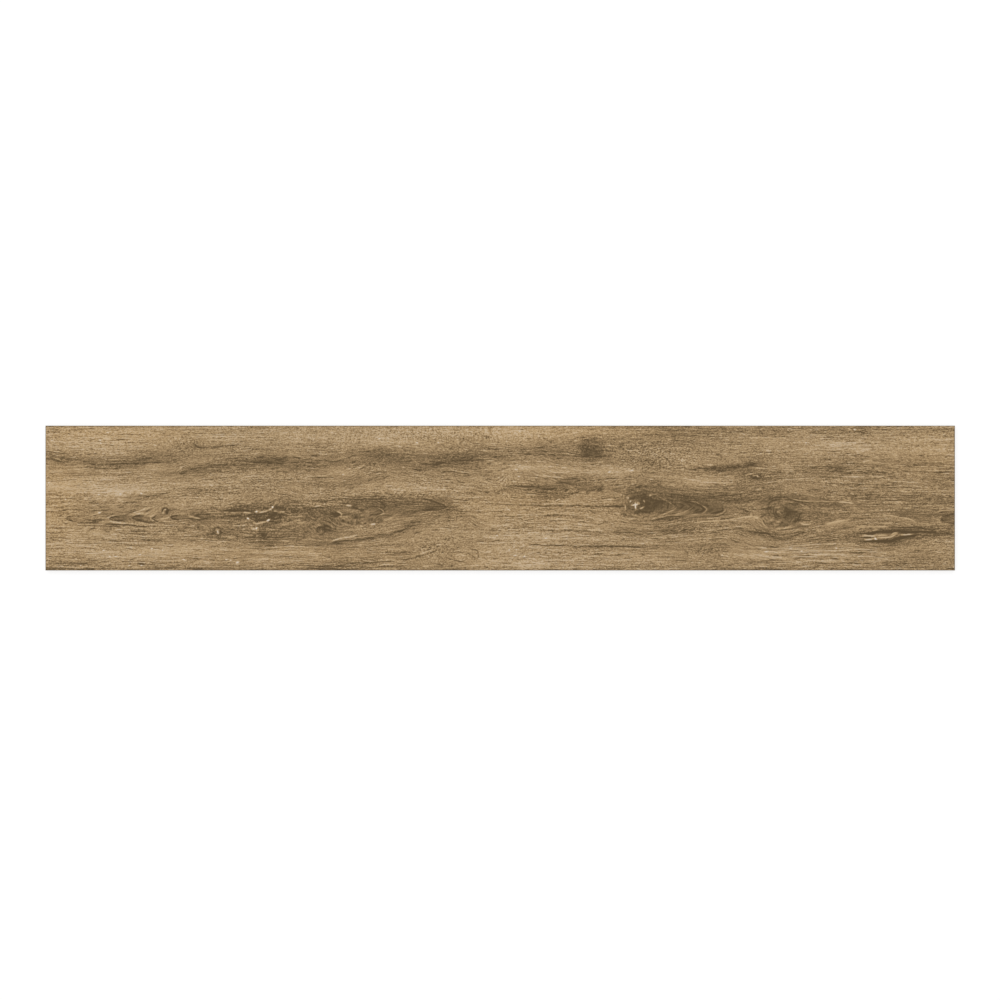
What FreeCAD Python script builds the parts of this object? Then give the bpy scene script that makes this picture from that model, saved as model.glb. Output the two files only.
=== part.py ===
# Wood look porcelain plank tile: one pressed and fired porcelain slab, rectified on all four edges.
# Millimetres, +Z up. The origin is the centre of the keyed back, X runs along the plank.
import FreeCAD, Part
import os

import Sketcher

# Driving dimensions, in the order of the spreadsheet's rows
SIZES = [
    ("plank_length", 1200.0, "along the printed grain, edge to edge"),
    ("plank_width", 191.0, "across the printed grain, edge to edge"),
    ("thickness", 9.5, "from the tops of the back ribs to the printed face"),
    ("face_bevel", 0.8, "45 degree arris ground round the face"),
    ("back_margin", 12.0, "plain band round the back, where the edges were ground"),
    ("rib_width", 3.5, "raised rib between two key recesses, at its crest"),
    ("recess_size", 21.0, "key recess at its mouth, before it is fitted to the span"),
    ("recess_depth", 0.7, "height of the ribs over the recess floors"),
    ("recess_draft", 30.0, "lean of the recess walls, so that the punch lets go, in degrees"),
]

# Sizes worked out from the ones above
DERIVED_SIZES = [
    ("span_along", "=plank_length - 2 * back_margin", "keyed field along the plank"),
    ("span_across", "=plank_width - 2 * back_margin", "keyed field across the plank"),
    ("wished_pitch", "=recess_size + rib_width", "recess to recess, before it is fitted to the span"),
    ("count_along", "=max(1; round((span_along + rib_width) / wished_pitch))", "recesses in a row"),
    ("count_across", "=max(1; round((span_across + rib_width) / wished_pitch))", "rows of recesses"),
    ("pitch_along", "=(span_along + rib_width) / count_along", "recess to recess along the plank"),
    ("pitch_across", "=(span_across + rib_width) / count_across", "recess to recess across the plank"),
    ("recess_along", "=pitch_along - rib_width", "recess mouth along the plank"),
    ("recess_across", "=pitch_across - rib_width", "recess mouth across the plank"),
]

PARTS_FOLDER = "parts"
TOUCH = 1e-6


def add_sizes(document):
    """Writes the driving and derived sizes to a spreadsheet, one alias to a row."""
    sheet = document.addObject("Spreadsheet::Sheet", "Sizes")
    rows = SIZES + DERIVED_SIZES
    for row, (alias, value, meaning) in enumerate(rows, start=1):
        sheet.set(f"A{row}", alias)
        sheet.set(f"B{row}", str(value))
        sheet.set(f"C{row}", meaning)
        sheet.setAlias(f"B{row}", alias)
    document.recompute()
    return sheet


def origin_feature(body, role):
    """The body's own origin plane or axis with this role."""
    return next(feature for feature in body.Origin.OriginFeatures if feature.Role == role)


def add_rectangle_sketch(body, name, corner, size):
    """A rectangle on the XY plane. Its low corner lies this far below the origin, and these are its sides."""
    sketch = body.newObject("Sketcher::SketchObject", name)
    sketch.AttachmentSupport = [(origin_feature(body, "XY_Plane"), "")]
    sketch.MapMode = "FlatFace"
    corners = [FreeCAD.Vector(x, y, 0) for x, y in ((0, 0), (10, 0), (10, 10), (0, 10))]
    for start, end in zip(corners, corners[1:] + corners[:1]):
        sketch.addGeometry(Part.LineSegment(start, end))
    for line in range(4):
        sketch.addConstraint(Sketcher.Constraint("Coincident", line, 2, (line + 1) % 4, 1))
    for line, kind in ((0, "Horizontal"), (1, "Vertical"), (2, "Horizontal"), (3, "Vertical")):
        sketch.addConstraint(Sketcher.Constraint(kind, line))
    named_distances = [
        ("side_x", ("DistanceX", 0, 1, 0, 2), size[0]),
        ("side_y", ("DistanceY", 1, 1, 1, 2), size[1]),
        ("corner_x", ("DistanceX", 0, 1, -1, 1), corner[0]),
        ("corner_y", ("DistanceY", 0, 1, -1, 1), corner[1]),
    ]
    for label, points, expression in named_distances:
        index = sketch.addConstraint(Sketcher.Constraint(*points, 10.0))
        sketch.renameConstraint(index, label)
        sketch.setExpression(f"Constraints.{label}", expression)
    return sketch


def add_slab(body):
    """The slab at its full size, with square ground edges."""
    outline = add_rectangle_sketch(
        body,
        "slab_outline",
        corner=("Sizes.plank_length / 2", "Sizes.plank_width / 2"),
        size=("Sizes.plank_length", "Sizes.plank_width"),
    )
    slab = body.newObject("PartDesign::Pad", "slab")
    slab.Profile = outline
    slab.setExpression("Length", "Sizes.thickness")
    body.Document.recompute()
    return slab


def add_face_bevel(body, slab, thickness):
    """The fine arris round the printed face."""
    face_edges = [
        f"Edge{number}"
        for number, edge in enumerate(slab.Shape.Edges, start=1)
        if all(abs(vertex.Z - thickness) < TOUCH for vertex in edge.Vertexes)
    ]
    bevel = body.newObject("PartDesign::Chamfer", "face_bevel")
    bevel.Base = (slab, face_edges)
    bevel.setExpression("Size", "Sizes.face_bevel")
    body.Document.recompute()
    return bevel


def add_keyed_back(body):
    """One drafted recess in the back's corner, repeated along and across, which leaves a waffle of ribs."""
    mouth = add_rectangle_sketch(
        body,
        "recess_mouth",
        corner=("Sizes.span_along / 2", "Sizes.span_across / 2"),
        size=("Sizes.recess_along", "Sizes.recess_across"),
    )
    recess = body.newObject("PartDesign::Pocket", "key_recess")
    recess.Profile = mouth
    recess.Reversed = True
    recess.setExpression("Length", "Sizes.recess_depth")
    recess.setExpression("TaperAngle", "-Sizes.recess_draft")
    body.Document.recompute()

    waffle = body.newObject("PartDesign::LinearPattern", "key_recesses")
    waffle.Originals = [recess]
    waffle.Refine = False
    waffle.Direction = (origin_feature(body, "X_Axis"), [""])
    waffle.Direction2 = (origin_feature(body, "Y_Axis"), [""])
    waffle.setExpression("Length", "Sizes.pitch_along * (Sizes.count_along - 1)")
    waffle.setExpression("Length2", "Sizes.pitch_across * (Sizes.count_across - 1)")
    waffle.setExpression("Occurrences", "Sizes.count_along")
    waffle.setExpression("Occurrences2", "Sizes.count_across")
    body.Tip = waffle
    body.Document.recompute()
    return waffle


def check(document, body):
    """Stops before anything is written if a feature failed or the solid is unsound."""
    for item in document.Objects:
        if "Invalid" in item.State or "Error" in item.State:
            raise RuntimeError(f"{item.Name} failed: {item.State}")
    if body.Shape.isNull() or not body.Shape.isValid() or len(body.Shape.Solids) != 1:
        raise RuntimeError(f"{body.Label} is not one sound solid")


def main():
    document = FreeCAD.newDocument("WoodLookPlank")
    sheet = add_sizes(document)
    plank = document.addObject("PartDesign::Body", "plank_tile")
    plank.Label = "plank_tile"
    slab = add_slab(plank)
    add_face_bevel(plank, slab, sheet.thickness)
    add_keyed_back(plank)
    check(document, plank)
    os.makedirs(PARTS_FOLDER, exist_ok=True)
    plank.Shape.exportStep(os.path.join(PARTS_FOLDER, f"{plank.Label}.step"))
    print(plank.Label, "volume mm3", round(plank.Shape.Volume), "faces", len(plank.Shape.Faces))


main()
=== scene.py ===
import math

import bpy
import numpy as np
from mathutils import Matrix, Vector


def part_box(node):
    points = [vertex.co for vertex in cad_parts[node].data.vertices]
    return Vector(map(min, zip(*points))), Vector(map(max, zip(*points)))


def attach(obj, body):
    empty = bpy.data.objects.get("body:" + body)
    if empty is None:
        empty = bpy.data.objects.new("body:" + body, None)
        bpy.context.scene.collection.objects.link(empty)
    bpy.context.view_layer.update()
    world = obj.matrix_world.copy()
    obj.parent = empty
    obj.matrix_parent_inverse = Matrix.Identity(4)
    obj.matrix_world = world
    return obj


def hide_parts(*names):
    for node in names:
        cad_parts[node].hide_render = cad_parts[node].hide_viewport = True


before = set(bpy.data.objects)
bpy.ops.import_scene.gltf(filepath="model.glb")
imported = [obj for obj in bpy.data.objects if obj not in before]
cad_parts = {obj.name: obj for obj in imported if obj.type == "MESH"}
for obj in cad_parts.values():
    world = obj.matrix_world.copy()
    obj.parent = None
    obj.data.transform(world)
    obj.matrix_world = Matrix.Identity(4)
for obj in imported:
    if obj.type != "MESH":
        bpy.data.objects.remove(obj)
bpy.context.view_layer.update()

low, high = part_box("plank_tile")
plankLength, plankWidth, plankThick = high - low
print("frame loaded, plank", [round(side * 1000, 2) for side in (plankLength, plankWidth, plankThick)], "mm")


# The printed figure is laid out on a grid of units, 1.32 mm each: along the plank from its left end,
# and down from its upper edge.
figure = {
    "columns": 909.62,
    "rows": 145.03,
    "edge": (0.40, 0.54),  # where the left end and the upper edge lie on the grid
    "meanGrey": 131.75,  # grey levels of 255, which every tone below is added to
    "toneGain": 1.08,  # how strongly the soft tones are printed
    "featherAlong": (13.0, 0.4),  # how far fibres carry a tone past its outline, and the share of its reach
    "featherAcross": (1.5, 0.25),
    "upperRimShade": (-7, 1.1),  # painted shade along the rim, in place of the bevel's own shade: grey levels, and how far in they reach
    "lowerRimShade": (-9, 2.2),
}

# Slow random swells that move the figure: size, reach along, reach across, seed
swells = {
    "across": [(1.8, 160, 50, 3), (0.7, 52, 22, 4)],
    "along": [(6, 90, 30, 5)],
    "further": [(1, 26, 1.9, 7)],
    "lifted": [(1, 34, 2.3, 8)],
    "shaken": [(0.35, 7, 9, 11), (0.2, 2.6, 6, 12)],
    "ragged": [(2.2, 9, 1.3, 15)],
}

# Growth lines swing round these: along, down, reach along, reach across, push
grainBends = [
    (225, 91, 190, 38, 0.42),  # the long cathedral
    (276, 105, 18, 12, 0.40),
    (120, 86, 10, 7, 0.45),
    (546, 24, 26, 16, 0.40),
    (520, 63, 60, 16, 0.25),
    (603, 78, 44, 26, 0.50),  # the dark knot
    (738, 88, 40, 26, 0.55),  # the round knot
    (712, 51, 16, 8, 0.40),
    (850, 111, 60, 16, 0.35),  # the open split
]

# Short stretches where the fibres lean: along, down, reach along, reach across, slope
grainLeans = [
    (10, 34, 14, 7, -0.3), (137, 44, 12, 8, 0.35), (200, 42, 60, 10, 0.08), (320, 48, 34, 16, 0.28),
    (458, 57, 13, 15, 0.2), (412, 54, 10, 8, -0.3), (430, 99, 9, 6, -0.25), (600, 30, 40, 16, 0.2),
    (345, 106, 50, 14, 0.16), (405, 132, 34, 14, 0.2), (500, 52, 26, 6, -0.18), (660, 128, 20, 8, 0.25),
    (640, 96, 50, 12, 0.12), (700, 112, 30, 10, -0.2),
]

# Where short fibres climb to the right, or fall: along, down, reach along, reach across, share
fibreSlopes = [
    (32, 42, 24, 16, -0.45), (137, 36, 20, 18, 0.8), (105, 40, 40, 22, 0.3), (95, 82, 55, 10, 0.6),
    (45, 105, 26, 8, 0.45), (140, 116, 18, 8, 0.5), (125, 126, 30, 8, 0.3), (170, 106, 13, 6, -1),
    (165, 98, 20, 4, -0.3), (195, 130, 20, 6, -0.4), (208, 74, 24, 7, 0.5), (231, 77, 13, 6, 0.9),
    (240, 36, 24, 14, -0.5), (252, 65, 16, 7, -0.7), (300, 87, 22, 4, -0.5), (325, 42, 28, 16, 1),
    (290, 50, 30, 14, 0.4), (375, 16, 16, 6, 1), (338, 92, 26, 7, 0.8), (290, 110, 45, 16, 0.4),
    (370, 108, 22, 9, 0.7), (408, 126, 14, 7, 1), (375, 36, 14, 8, -0.6), (405, 20, 12, 6, -0.5),
    (425, 53, 20, 5, -0.6), (395, 76, 9, 4, -0.7), (430, 97, 15, 7, -1), (445, 45, 24, 9, 0.4),
    (500, 34, 20, 15, -0.8), (516, 55, 24, 8, -0.6), (470, 16, 16, 6, -0.4), (550, 65, 26, 6, 0.6),
    (597, 81, 15, 7, 1), (645, 86, 45, 6, 0.8), (535, 18, 10, 6, 0.5), (565, 27, 10, 6, 0.4),
    (610, 22, 13, 9, 0.5), (655, 62, 40, 14, -0.35), (640, 36, 30, 12, -0.25), (690, 47, 10, 9, 0.5),
    (720, 76, 15, 7, 0.6), (716, 97, 16, 9, -0.8), (700, 120, 20, 14, -0.6), (640, 125, 16, 6, -0.6),
    (600, 130, 40, 10, -0.25), (570, 98, 30, 8, -0.3), (755, 82, 24, 8, -0.8), (765, 65, 16, 9, -0.5),
    (725, 14, 20, 8, -0.4), (810, 82, 22, 7, -0.5), (870, 94, 16, 6, -0.8), (745, 101, 12, 8, 0.5),
    (795, 96, 22, 8, 0.6), (850, 112, 26, 9, 0.6), (880, 127, 20, 7, 0.5), (905, 90, 10, 8, 0.7),
    (840, 34, 40, 12, -0.25), (885, 34, 20, 12, -0.25),
]

# Grain that is broken up and short: along, down, reach along, reach across, share
wildGrain = [
    (610, 30, 60, 20, 1), (330, 40, 40, 16, 0.7), (410, 28, 34, 14, 0.6), (460, 58, 22, 18, 0.7),
    (400, 128, 46, 18, 0.9), (725, 28, 50, 14, 0.6), (400, 9, 150, 9, 0.9), (140, 20, 30, 16, 0.8),
    (545, 18, 26, 14, 0.7), (660, 128, 28, 12, 0.7), (600, 76, 26, 18, 0.6), (735, 88, 24, 16, 0.5),
    (270, 105, 30, 12, 0.5), (860, 25, 40, 14, 0.5),
]

# Where long fibres show more or less than elsewhere: along, down, reach along, reach across, change
longFibres = [
    (60, 80, 90, 40, 0.3), (130, 126, 110, 20, 0.45), (560, 120, 130, 30, 0.3), (215, 60, 80, 14, -0.25),
    (400, 8, 150, 10, -0.6), (850, 60, 70, 40, 0.4), (770, 128, 90, 13, 1), (270, 128, 60, 12, 0.5),
]

# Nests of growth rings: tip along and down, way it points (0 for whole rings), openness, tilt, gap,
# then the place that they fill, as above
ringNests = [
    (661, 84, 1, 2.2, 0.07, 4.6, 646, 84, 30, 8, 0.85),
    (87, 93, -1, 4.2, 0.0, 7.0, 96, 91, 36, 7, 0.4),
    (395, 82, 1, 2.6, 0.0, 6.0, 340, 87, 50, 8, 0.6),
    (735, 88, 0, 1.25, 0.0, 1.7, 733, 88, 14, 12, 0.4),
    (276.5, 105.5, 0, 1.2, 0.0, 1.6, 276.5, 105.5, 11, 7, 0.3),
    (603, 78, 0, 1.5, 0.0, 2.2, 606, 78, 22, 15, 0.5),
    (415, 132, 0, 1.4, 0.0, 2.6, 415, 132, 20, 11, 0.5),
]

# Where the ink is more golden: along, down, reach along, reach across, share
goldenPlaces = [
    (5, 75, 34, 45, 0.9), (60, 8, 80, 12, 0.8), (500, 6, 110, 9, 0.7), (490, 80, 100, 18, 0.5),
    (200, 132, 260, 12, 0.3), (890, 30, 40, 30, 0.3),
]

# Where drawn lines take over from the random grain: along, down, reach along, reach across, change
drawnPlaces = [
    (95, 92, 40, 9, -0.2), (155, 92, 24, 6, -0.3), (640, 84, 40, 10, -0.15), (736, 88, 22, 15, -0.15),
]

# Where the pale upper band has fine cross marks: along, down, reach along, reach across
combPlace = (400, 8, 150, 10)

# Soft tones of the figure: along, down, reach along, reach across, grey levels, and slope if any
softTones = [
    # broad washes
    (30, 70, 120, 75, 9), (480, 112, 110, 38, 9), (830, 84, 100, 26, -7), (660, 88, 60, 14, -9),
    (350, 89, 60, 11, -10, -0.1), (240, 100, 70, 16, -7),
    # light upper edge
    (60, 8, 90, 11, 17), (35, 17, 55, 5, 9, 0.02), (105, 4, 16, 5, 10), (170, 12, 45, 9, 11),
    (250, 8, 50, 10, 15), (330, 10, 50, 9, 18), (400, 5, 60, 8, 18), (470, 7, 50, 9, 24), (530, 7, 40, 7, 14),
    (205, 2, 12, 5, -8), (55, 24, 50, 5, 14), (120, 45, 20, 6, 9), (175, 15, 18, 4, 9), (345, 20, 52, 7, 16),
    (475, 17, 28, 7, 8), (570, 5, 22, 6, 12),
    # upper right
    (640, 8, 45, 8, -11), (665, 11, 20, 5, -6), (728, 7, 14, 4, -9), (816, 4.5, 42, 3.5, -13),
    (785, 17, 55, 8, 20), (720, 18, 22, 5, 8), (812, 26, 30, 5, 9), (870, 20, 40, 14, 17),
    (740, 30, 50, 8, 6), (645, 34, 35, 6, 6), (650, 57, 42, 7, 22),
    # upper dark streak
    (20, 33, 35, 6, -20, 0.06), (60, 38, 40, 5, -14), (95, 36, 26, 6, -22, -0.03),
    (130, 28, 25, 9, -10, -0.2), (148, 20, 9, 6, -14), (165, 23, 22, 3, -8), (140, 46, 30, 5, -18, -0.12),
    (185, 41, 35, 6, -16, -0.06), (222, 35, 28, 6, -26), (262, 41, 24, 5, -20, 0.05),
    (295, 34, 20, 5, -10, -0.1), (338, 31, 30, 8, -28), (375, 38, 26, 6, -12), (410, 34, 26, 7, -24),
    (395, 41, 18, 3, -8), (445, 28, 30, 7, -13), (500, 27, 32, 7, -15), (546, 23, 14, 10, -42),
    (551, 29, 14, 4, -20), (530, 24, 7, 4, 10), (408, 38, 24, 3, -9), (385, 44, 20, 3, -9),
    (612, 35, 18, 7, -9), (590, 36, 25, 8, -8), (600, 22, 25, 8, -3),
    # pale middle
    (20, 60, 60, 9, 24), (85, 65, 35, 6, 20, -0.05), (50, 52, 34, 4.5, -8), (150, 58, 30, 4, 7, -0.05),
    (150, 77, 30, 4, 12), (215, 52, 45, 3.5, 8), (270, 66, 14, 5, 13), (295, 47, 14, 4.5, 16),
    (108, 70.4, 24, 3.4, -17, -0.14), (180, 65, 25, 3.5, -5), (212, 56, 16, 2.5, -6, -0.1),
    (305, 57, 20, 4, -9, -0.15), (365, 61, 40, 6, 11), (428, 62, 25, 6, 13), (480, 43, 30, 5, 18),
    (535, 45, 30, 4, 8), (577, 47, 20, 4.5, 16), (450, 84, 35, 8, 9), (430, 75, 25, 6, 6),
    (10, 95, 22, 8, 12), (372, 66, 36, 5, 12), (560, 45, 45, 5, 9), (530, 74, 14, 4, 13), (468, 54, 14, 5, 9),
    (122, 65, 20, 4, -6, -0.08),
    # cathedral
    (45, 92, 30, 6, -8, 0.02), (78, 92, 18, 5, -20, 0.02), (95, 94, 20, 4, -10), (120, 86, 9, 4, -18),
    (135, 92, 16, 4, -16), (180, 91, 38, 5.5, -30), (200, 84, 18, 5, -26, -0.1), (219, 91, 15, 8, -28),
    (236, 83, 10, 5, -14), (262, 87, 34, 6, -30), (300, 77, 40, 5, -7, -0.1), (328, 75, 24, 5, -20),
    (350, 80, 28, 6, -28), (390, 80, 18, 7, -26, 0.1), (410, 89, 14, 6, -16), (300, 92, 30, 6, -5, 0.1),
    (340, 91, 20, 4, -6, -0.1), (171, 106.5, 13, 5, -23), (200, 110, 30, 5, -16, 0.08),
    (222, 114, 16, 7, -20), (219, 100, 13, 6, -20), (277, 105, 10, 6, -20), (250, 108, 18, 6, -14),
    (281, 119.5, 18, 4, -14, -0.1), (320, 113, 26, 3.5, -18, -0.16), (358, 104, 18, 4.5, -18, -0.45),
    (378, 97, 14, 4, -10, -0.3), (210, 103, 7, 3.5, 10), (335, 105, 24, 3.5, 12, -0.2),
    (135, 102, 40, 4, -8, 0.02), (245, 76, 24, 4.5, -12), (292, 97, 26, 8, -9), (172, 115, 18, 4, -9),
    (217, 121, 18, 4, -9), (210, 87, 9, 2.5, 14), (368, 102, 16, 4, -8, -0.4), (365, 85, 34, 4, -9, -0.05),
    # lower left
    (90, 127, 80, 8, 19), (145, 124, 22, 6, 6), (20, 118, 40, 7, 10), (55, 108, 40, 6, 9),
    (245, 128, 28, 5, 22), (190, 123, 16, 4, 8), (187, 135, 10, 3, 8), (25, 138, 30, 3, -5),
    (0, 144, 14, 2.5, -12), (250, 143, 22, 3, -14), (280, 143, 18, 3, -16), (305, 138, 26, 3, -14),
    (225, 137, 20, 4, 8), (262, 137, 36, 4, 15), (245, 120, 20, 4, 6), (128, 135, 28, 5, 10),
    # lower middle
    (400, 104, 22, 4, 9), (465, 112, 40, 8, 12), (470, 140, 40, 6, 20), (450, 126, 30, 4, 10),
    (420, 116, 14, 3, -8, 0.1), (400, 140, 16, 5, -6), (520, 135, 40, 6, 14), (545, 98, 40, 7, 10),
    (500, 96, 40, 5, 6), (515, 105, 16, 2.5, -8), (470, 91, 22, 2.5, -6), (580, 107, 40, 4, -9),
    (570, 121, 50, 2.5, -7), (575, 128, 40, 3, 6), (545, 129, 20, 2, -4), (575, 87, 14, 5, 8),
    (520, 115, 30, 4, 6), (460, 126, 20, 6, 7), (440, 92, 22, 6, 5), (595, 136, 40, 6, 10),
    # flame
    (500, 63, 28, 4.5, -32, 0.03), (522, 57, 16, 5, -22, -0.1), (510, 70, 16, 5, -22),
    (545, 63, 16, 4.5, -24, 0.05), (455, 66, 18, 4, -10), (485, 60, 10, 3, -6),
    # dark knot and its tail
    (604, 77, 18, 10, -52), (590, 70, 12, 9, -22), (585, 86, 10, 6, -16), (635, 74, 24, 9, -30),
    (670, 74, 24, 7, -28), (650, 83, 14, 5, -18), (672, 85, 12, 4, -12), (705, 75, 20, 5, -20),
    (612, 60, 18, 6, -18, 0.2), (690, 64, 40, 5, -10), (615, 92, 16, 4, -10, -0.3),
    (648, 102.5, 45, 3.5, -15, -0.07), (645, 97, 40, 3, 5, -0.05), (700, 93, 20, 4, 12),
    (665, 84, 28, 5, -14), (608, 86, 14, 4, -14), (618, 95, 32, 4.5, -14, -0.08), (614, 72, 12, 4, 10),
    (618, 55, 14, 4, -8),
    # streak over the round knot
    (680, 43, 26, 4, -24, -0.06), (708, 38, 16, 4, -18, -0.1), (713, 52, 12, 2.5, -26), (715, 52, 30, 4, -10),
    (740, 42, 18, 4, 6), (793, 44, 14, 4.5, -22), (800, 47, 40, 3, -8), (870, 40, 18, 4, -10, 0.1),
    (700, 58, 20, 5, -12), (610, 46, 16, 5, -6), (692, 44, 26, 4, -12), (768, 45, 18, 4, -11),
    # round knot
    (745, 88, 11, 9, -32), (728, 84, 9, 9, -16), (740, 73, 24, 4, -18, 0.05), (728, 98, 8, 5, -12),
    (738, 112, 24, 5, -18, 0.08), (705, 107, 16, 3, -14, 0.1), (778, 80, 18, 4, -16), (768, 90, 20, 7, -10),
    (790, 97, 12, 3.5, 8, -0.1), (785, 112, 16, 5, -14), (748, 88, 9, 10, -16), (750, 99, 16, 5, -10),
    (790, 87, 28, 5, -6),
    # open split
    (879, 106.5, 36, 4.7, -39), (842, 104, 24, 3, -15, -0.03), (843, 116, 20, 4.5, -32, -0.08),
    (815, 109, 14, 4, -12), (838, 112, 10, 2.5, 4), (858, 88, 14, 3, -16, 0.1), (903, 91, 12, 6, -20),
    (895, 75, 22, 4, -14), (830, 73, 40, 5, -8), (815, 114, 14, 4, -10), (846, 117, 18, 3.5, -16, -0.08),
    (895, 120, 20, 5, 10),
    # lower right
    (740, 127, 60, 5.5, 17), (800, 133, 40, 6, 12), (705, 132, 22, 6, 9), (860, 138, 40, 6, -12),
    (667, 126, 14, 5, -12), (670, 142, 18, 3.5, -10), (728, 144, 14, 3, -20), (640, 130, 30, 5, 4),
    (620, 122, 30, 4, -6), (745, 136, 55, 4.5, 10), (830, 137, 14, 4, 11), (895, 24, 22, 8, 8),
]


def hills(x, y, seed):
    # smooth random hills from -1 to 1, about one to a unit
    period = 128
    table = np.random.default_rng(seed).uniform(-1, 1, (period, period))
    column, row = np.floor(x).astype(int), np.floor(y).astype(int)
    s, t = x - column, y - row
    s, t = s * s * (3 - 2 * s), t * t * (3 - 2 * t)
    column, nextColumn = column % period, (column + 1) % period
    row, nextRow = row % period, (row + 1) % period
    near = table[column, row] * (1 - s) + table[nextColumn, row] * s
    far = table[column, nextRow] * (1 - s) + table[nextColumn, nextRow] * s
    return near * (1 - t) + far * t


def swayed(start, p, q, name):
    # a coordinate after the swells of this name have moved it
    moved = start
    for size, along, across, seed in swells[name]:
        moved = moved + size * hills(p / along, q / across, seed)
    return moved


def nearness(p, q, spot):
    return np.exp(-((p - spot[0]) / spot[2]) ** 2 - ((q - spot[1]) / spot[3]) ** 2)


def gathered(p, q, patches):
    return sum(patch[4] * nearness(p, q, patch) for patch in patches)


def layGrain(p, q):
    # coordinates that run along and across the fibres
    across = swayed(q, p, q, "across")
    for bend in grainBends:
        across = across - bend[4] * (q - bend[1]) * nearness(p, q, bend)
    for lean in grainLeans:
        across = across + lean[4] * (p - lean[0]) * nearness(p, q, lean)
    return swayed(p, p, q, "along"), across


def paintSoftTones(p, q, along, across):
    # each fibre carries a tone a little further or less far, so outlines feather along the grain
    further = swayed(0, along, across, "further")
    lifted = swayed(0, along, across, "lifted")
    mostAlong, shareAlong = figure["featherAlong"]
    mostAcross, shareAcross = figure["featherAcross"]
    upperEdge = figure["edge"][1]
    # painted shade along the lower and upper rims, standing in for the shade of the bevel
    levels, reach = figure["lowerRimShade"]
    tone = levels * np.exp(-((figure["rows"] + upperEdge - q) / reach) ** 2)
    levels, reach = figure["upperRimShade"]
    tone = tone + levels * np.exp(-((q - upperEdge) / reach) ** 2)
    for spot in softTones:
        middle, _, reachAlong, reachAcross, levels, *slope = spot
        feathered = p + min(mostAlong, shareAlong * reachAlong) * further
        down = q + min(mostAcross, shareAcross * reachAcross) * lifted - sum(slope) * (feathered - middle)
        tone = tone + figure["toneGain"] * levels * nearness(feathered, down, spot)
    return tone


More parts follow.
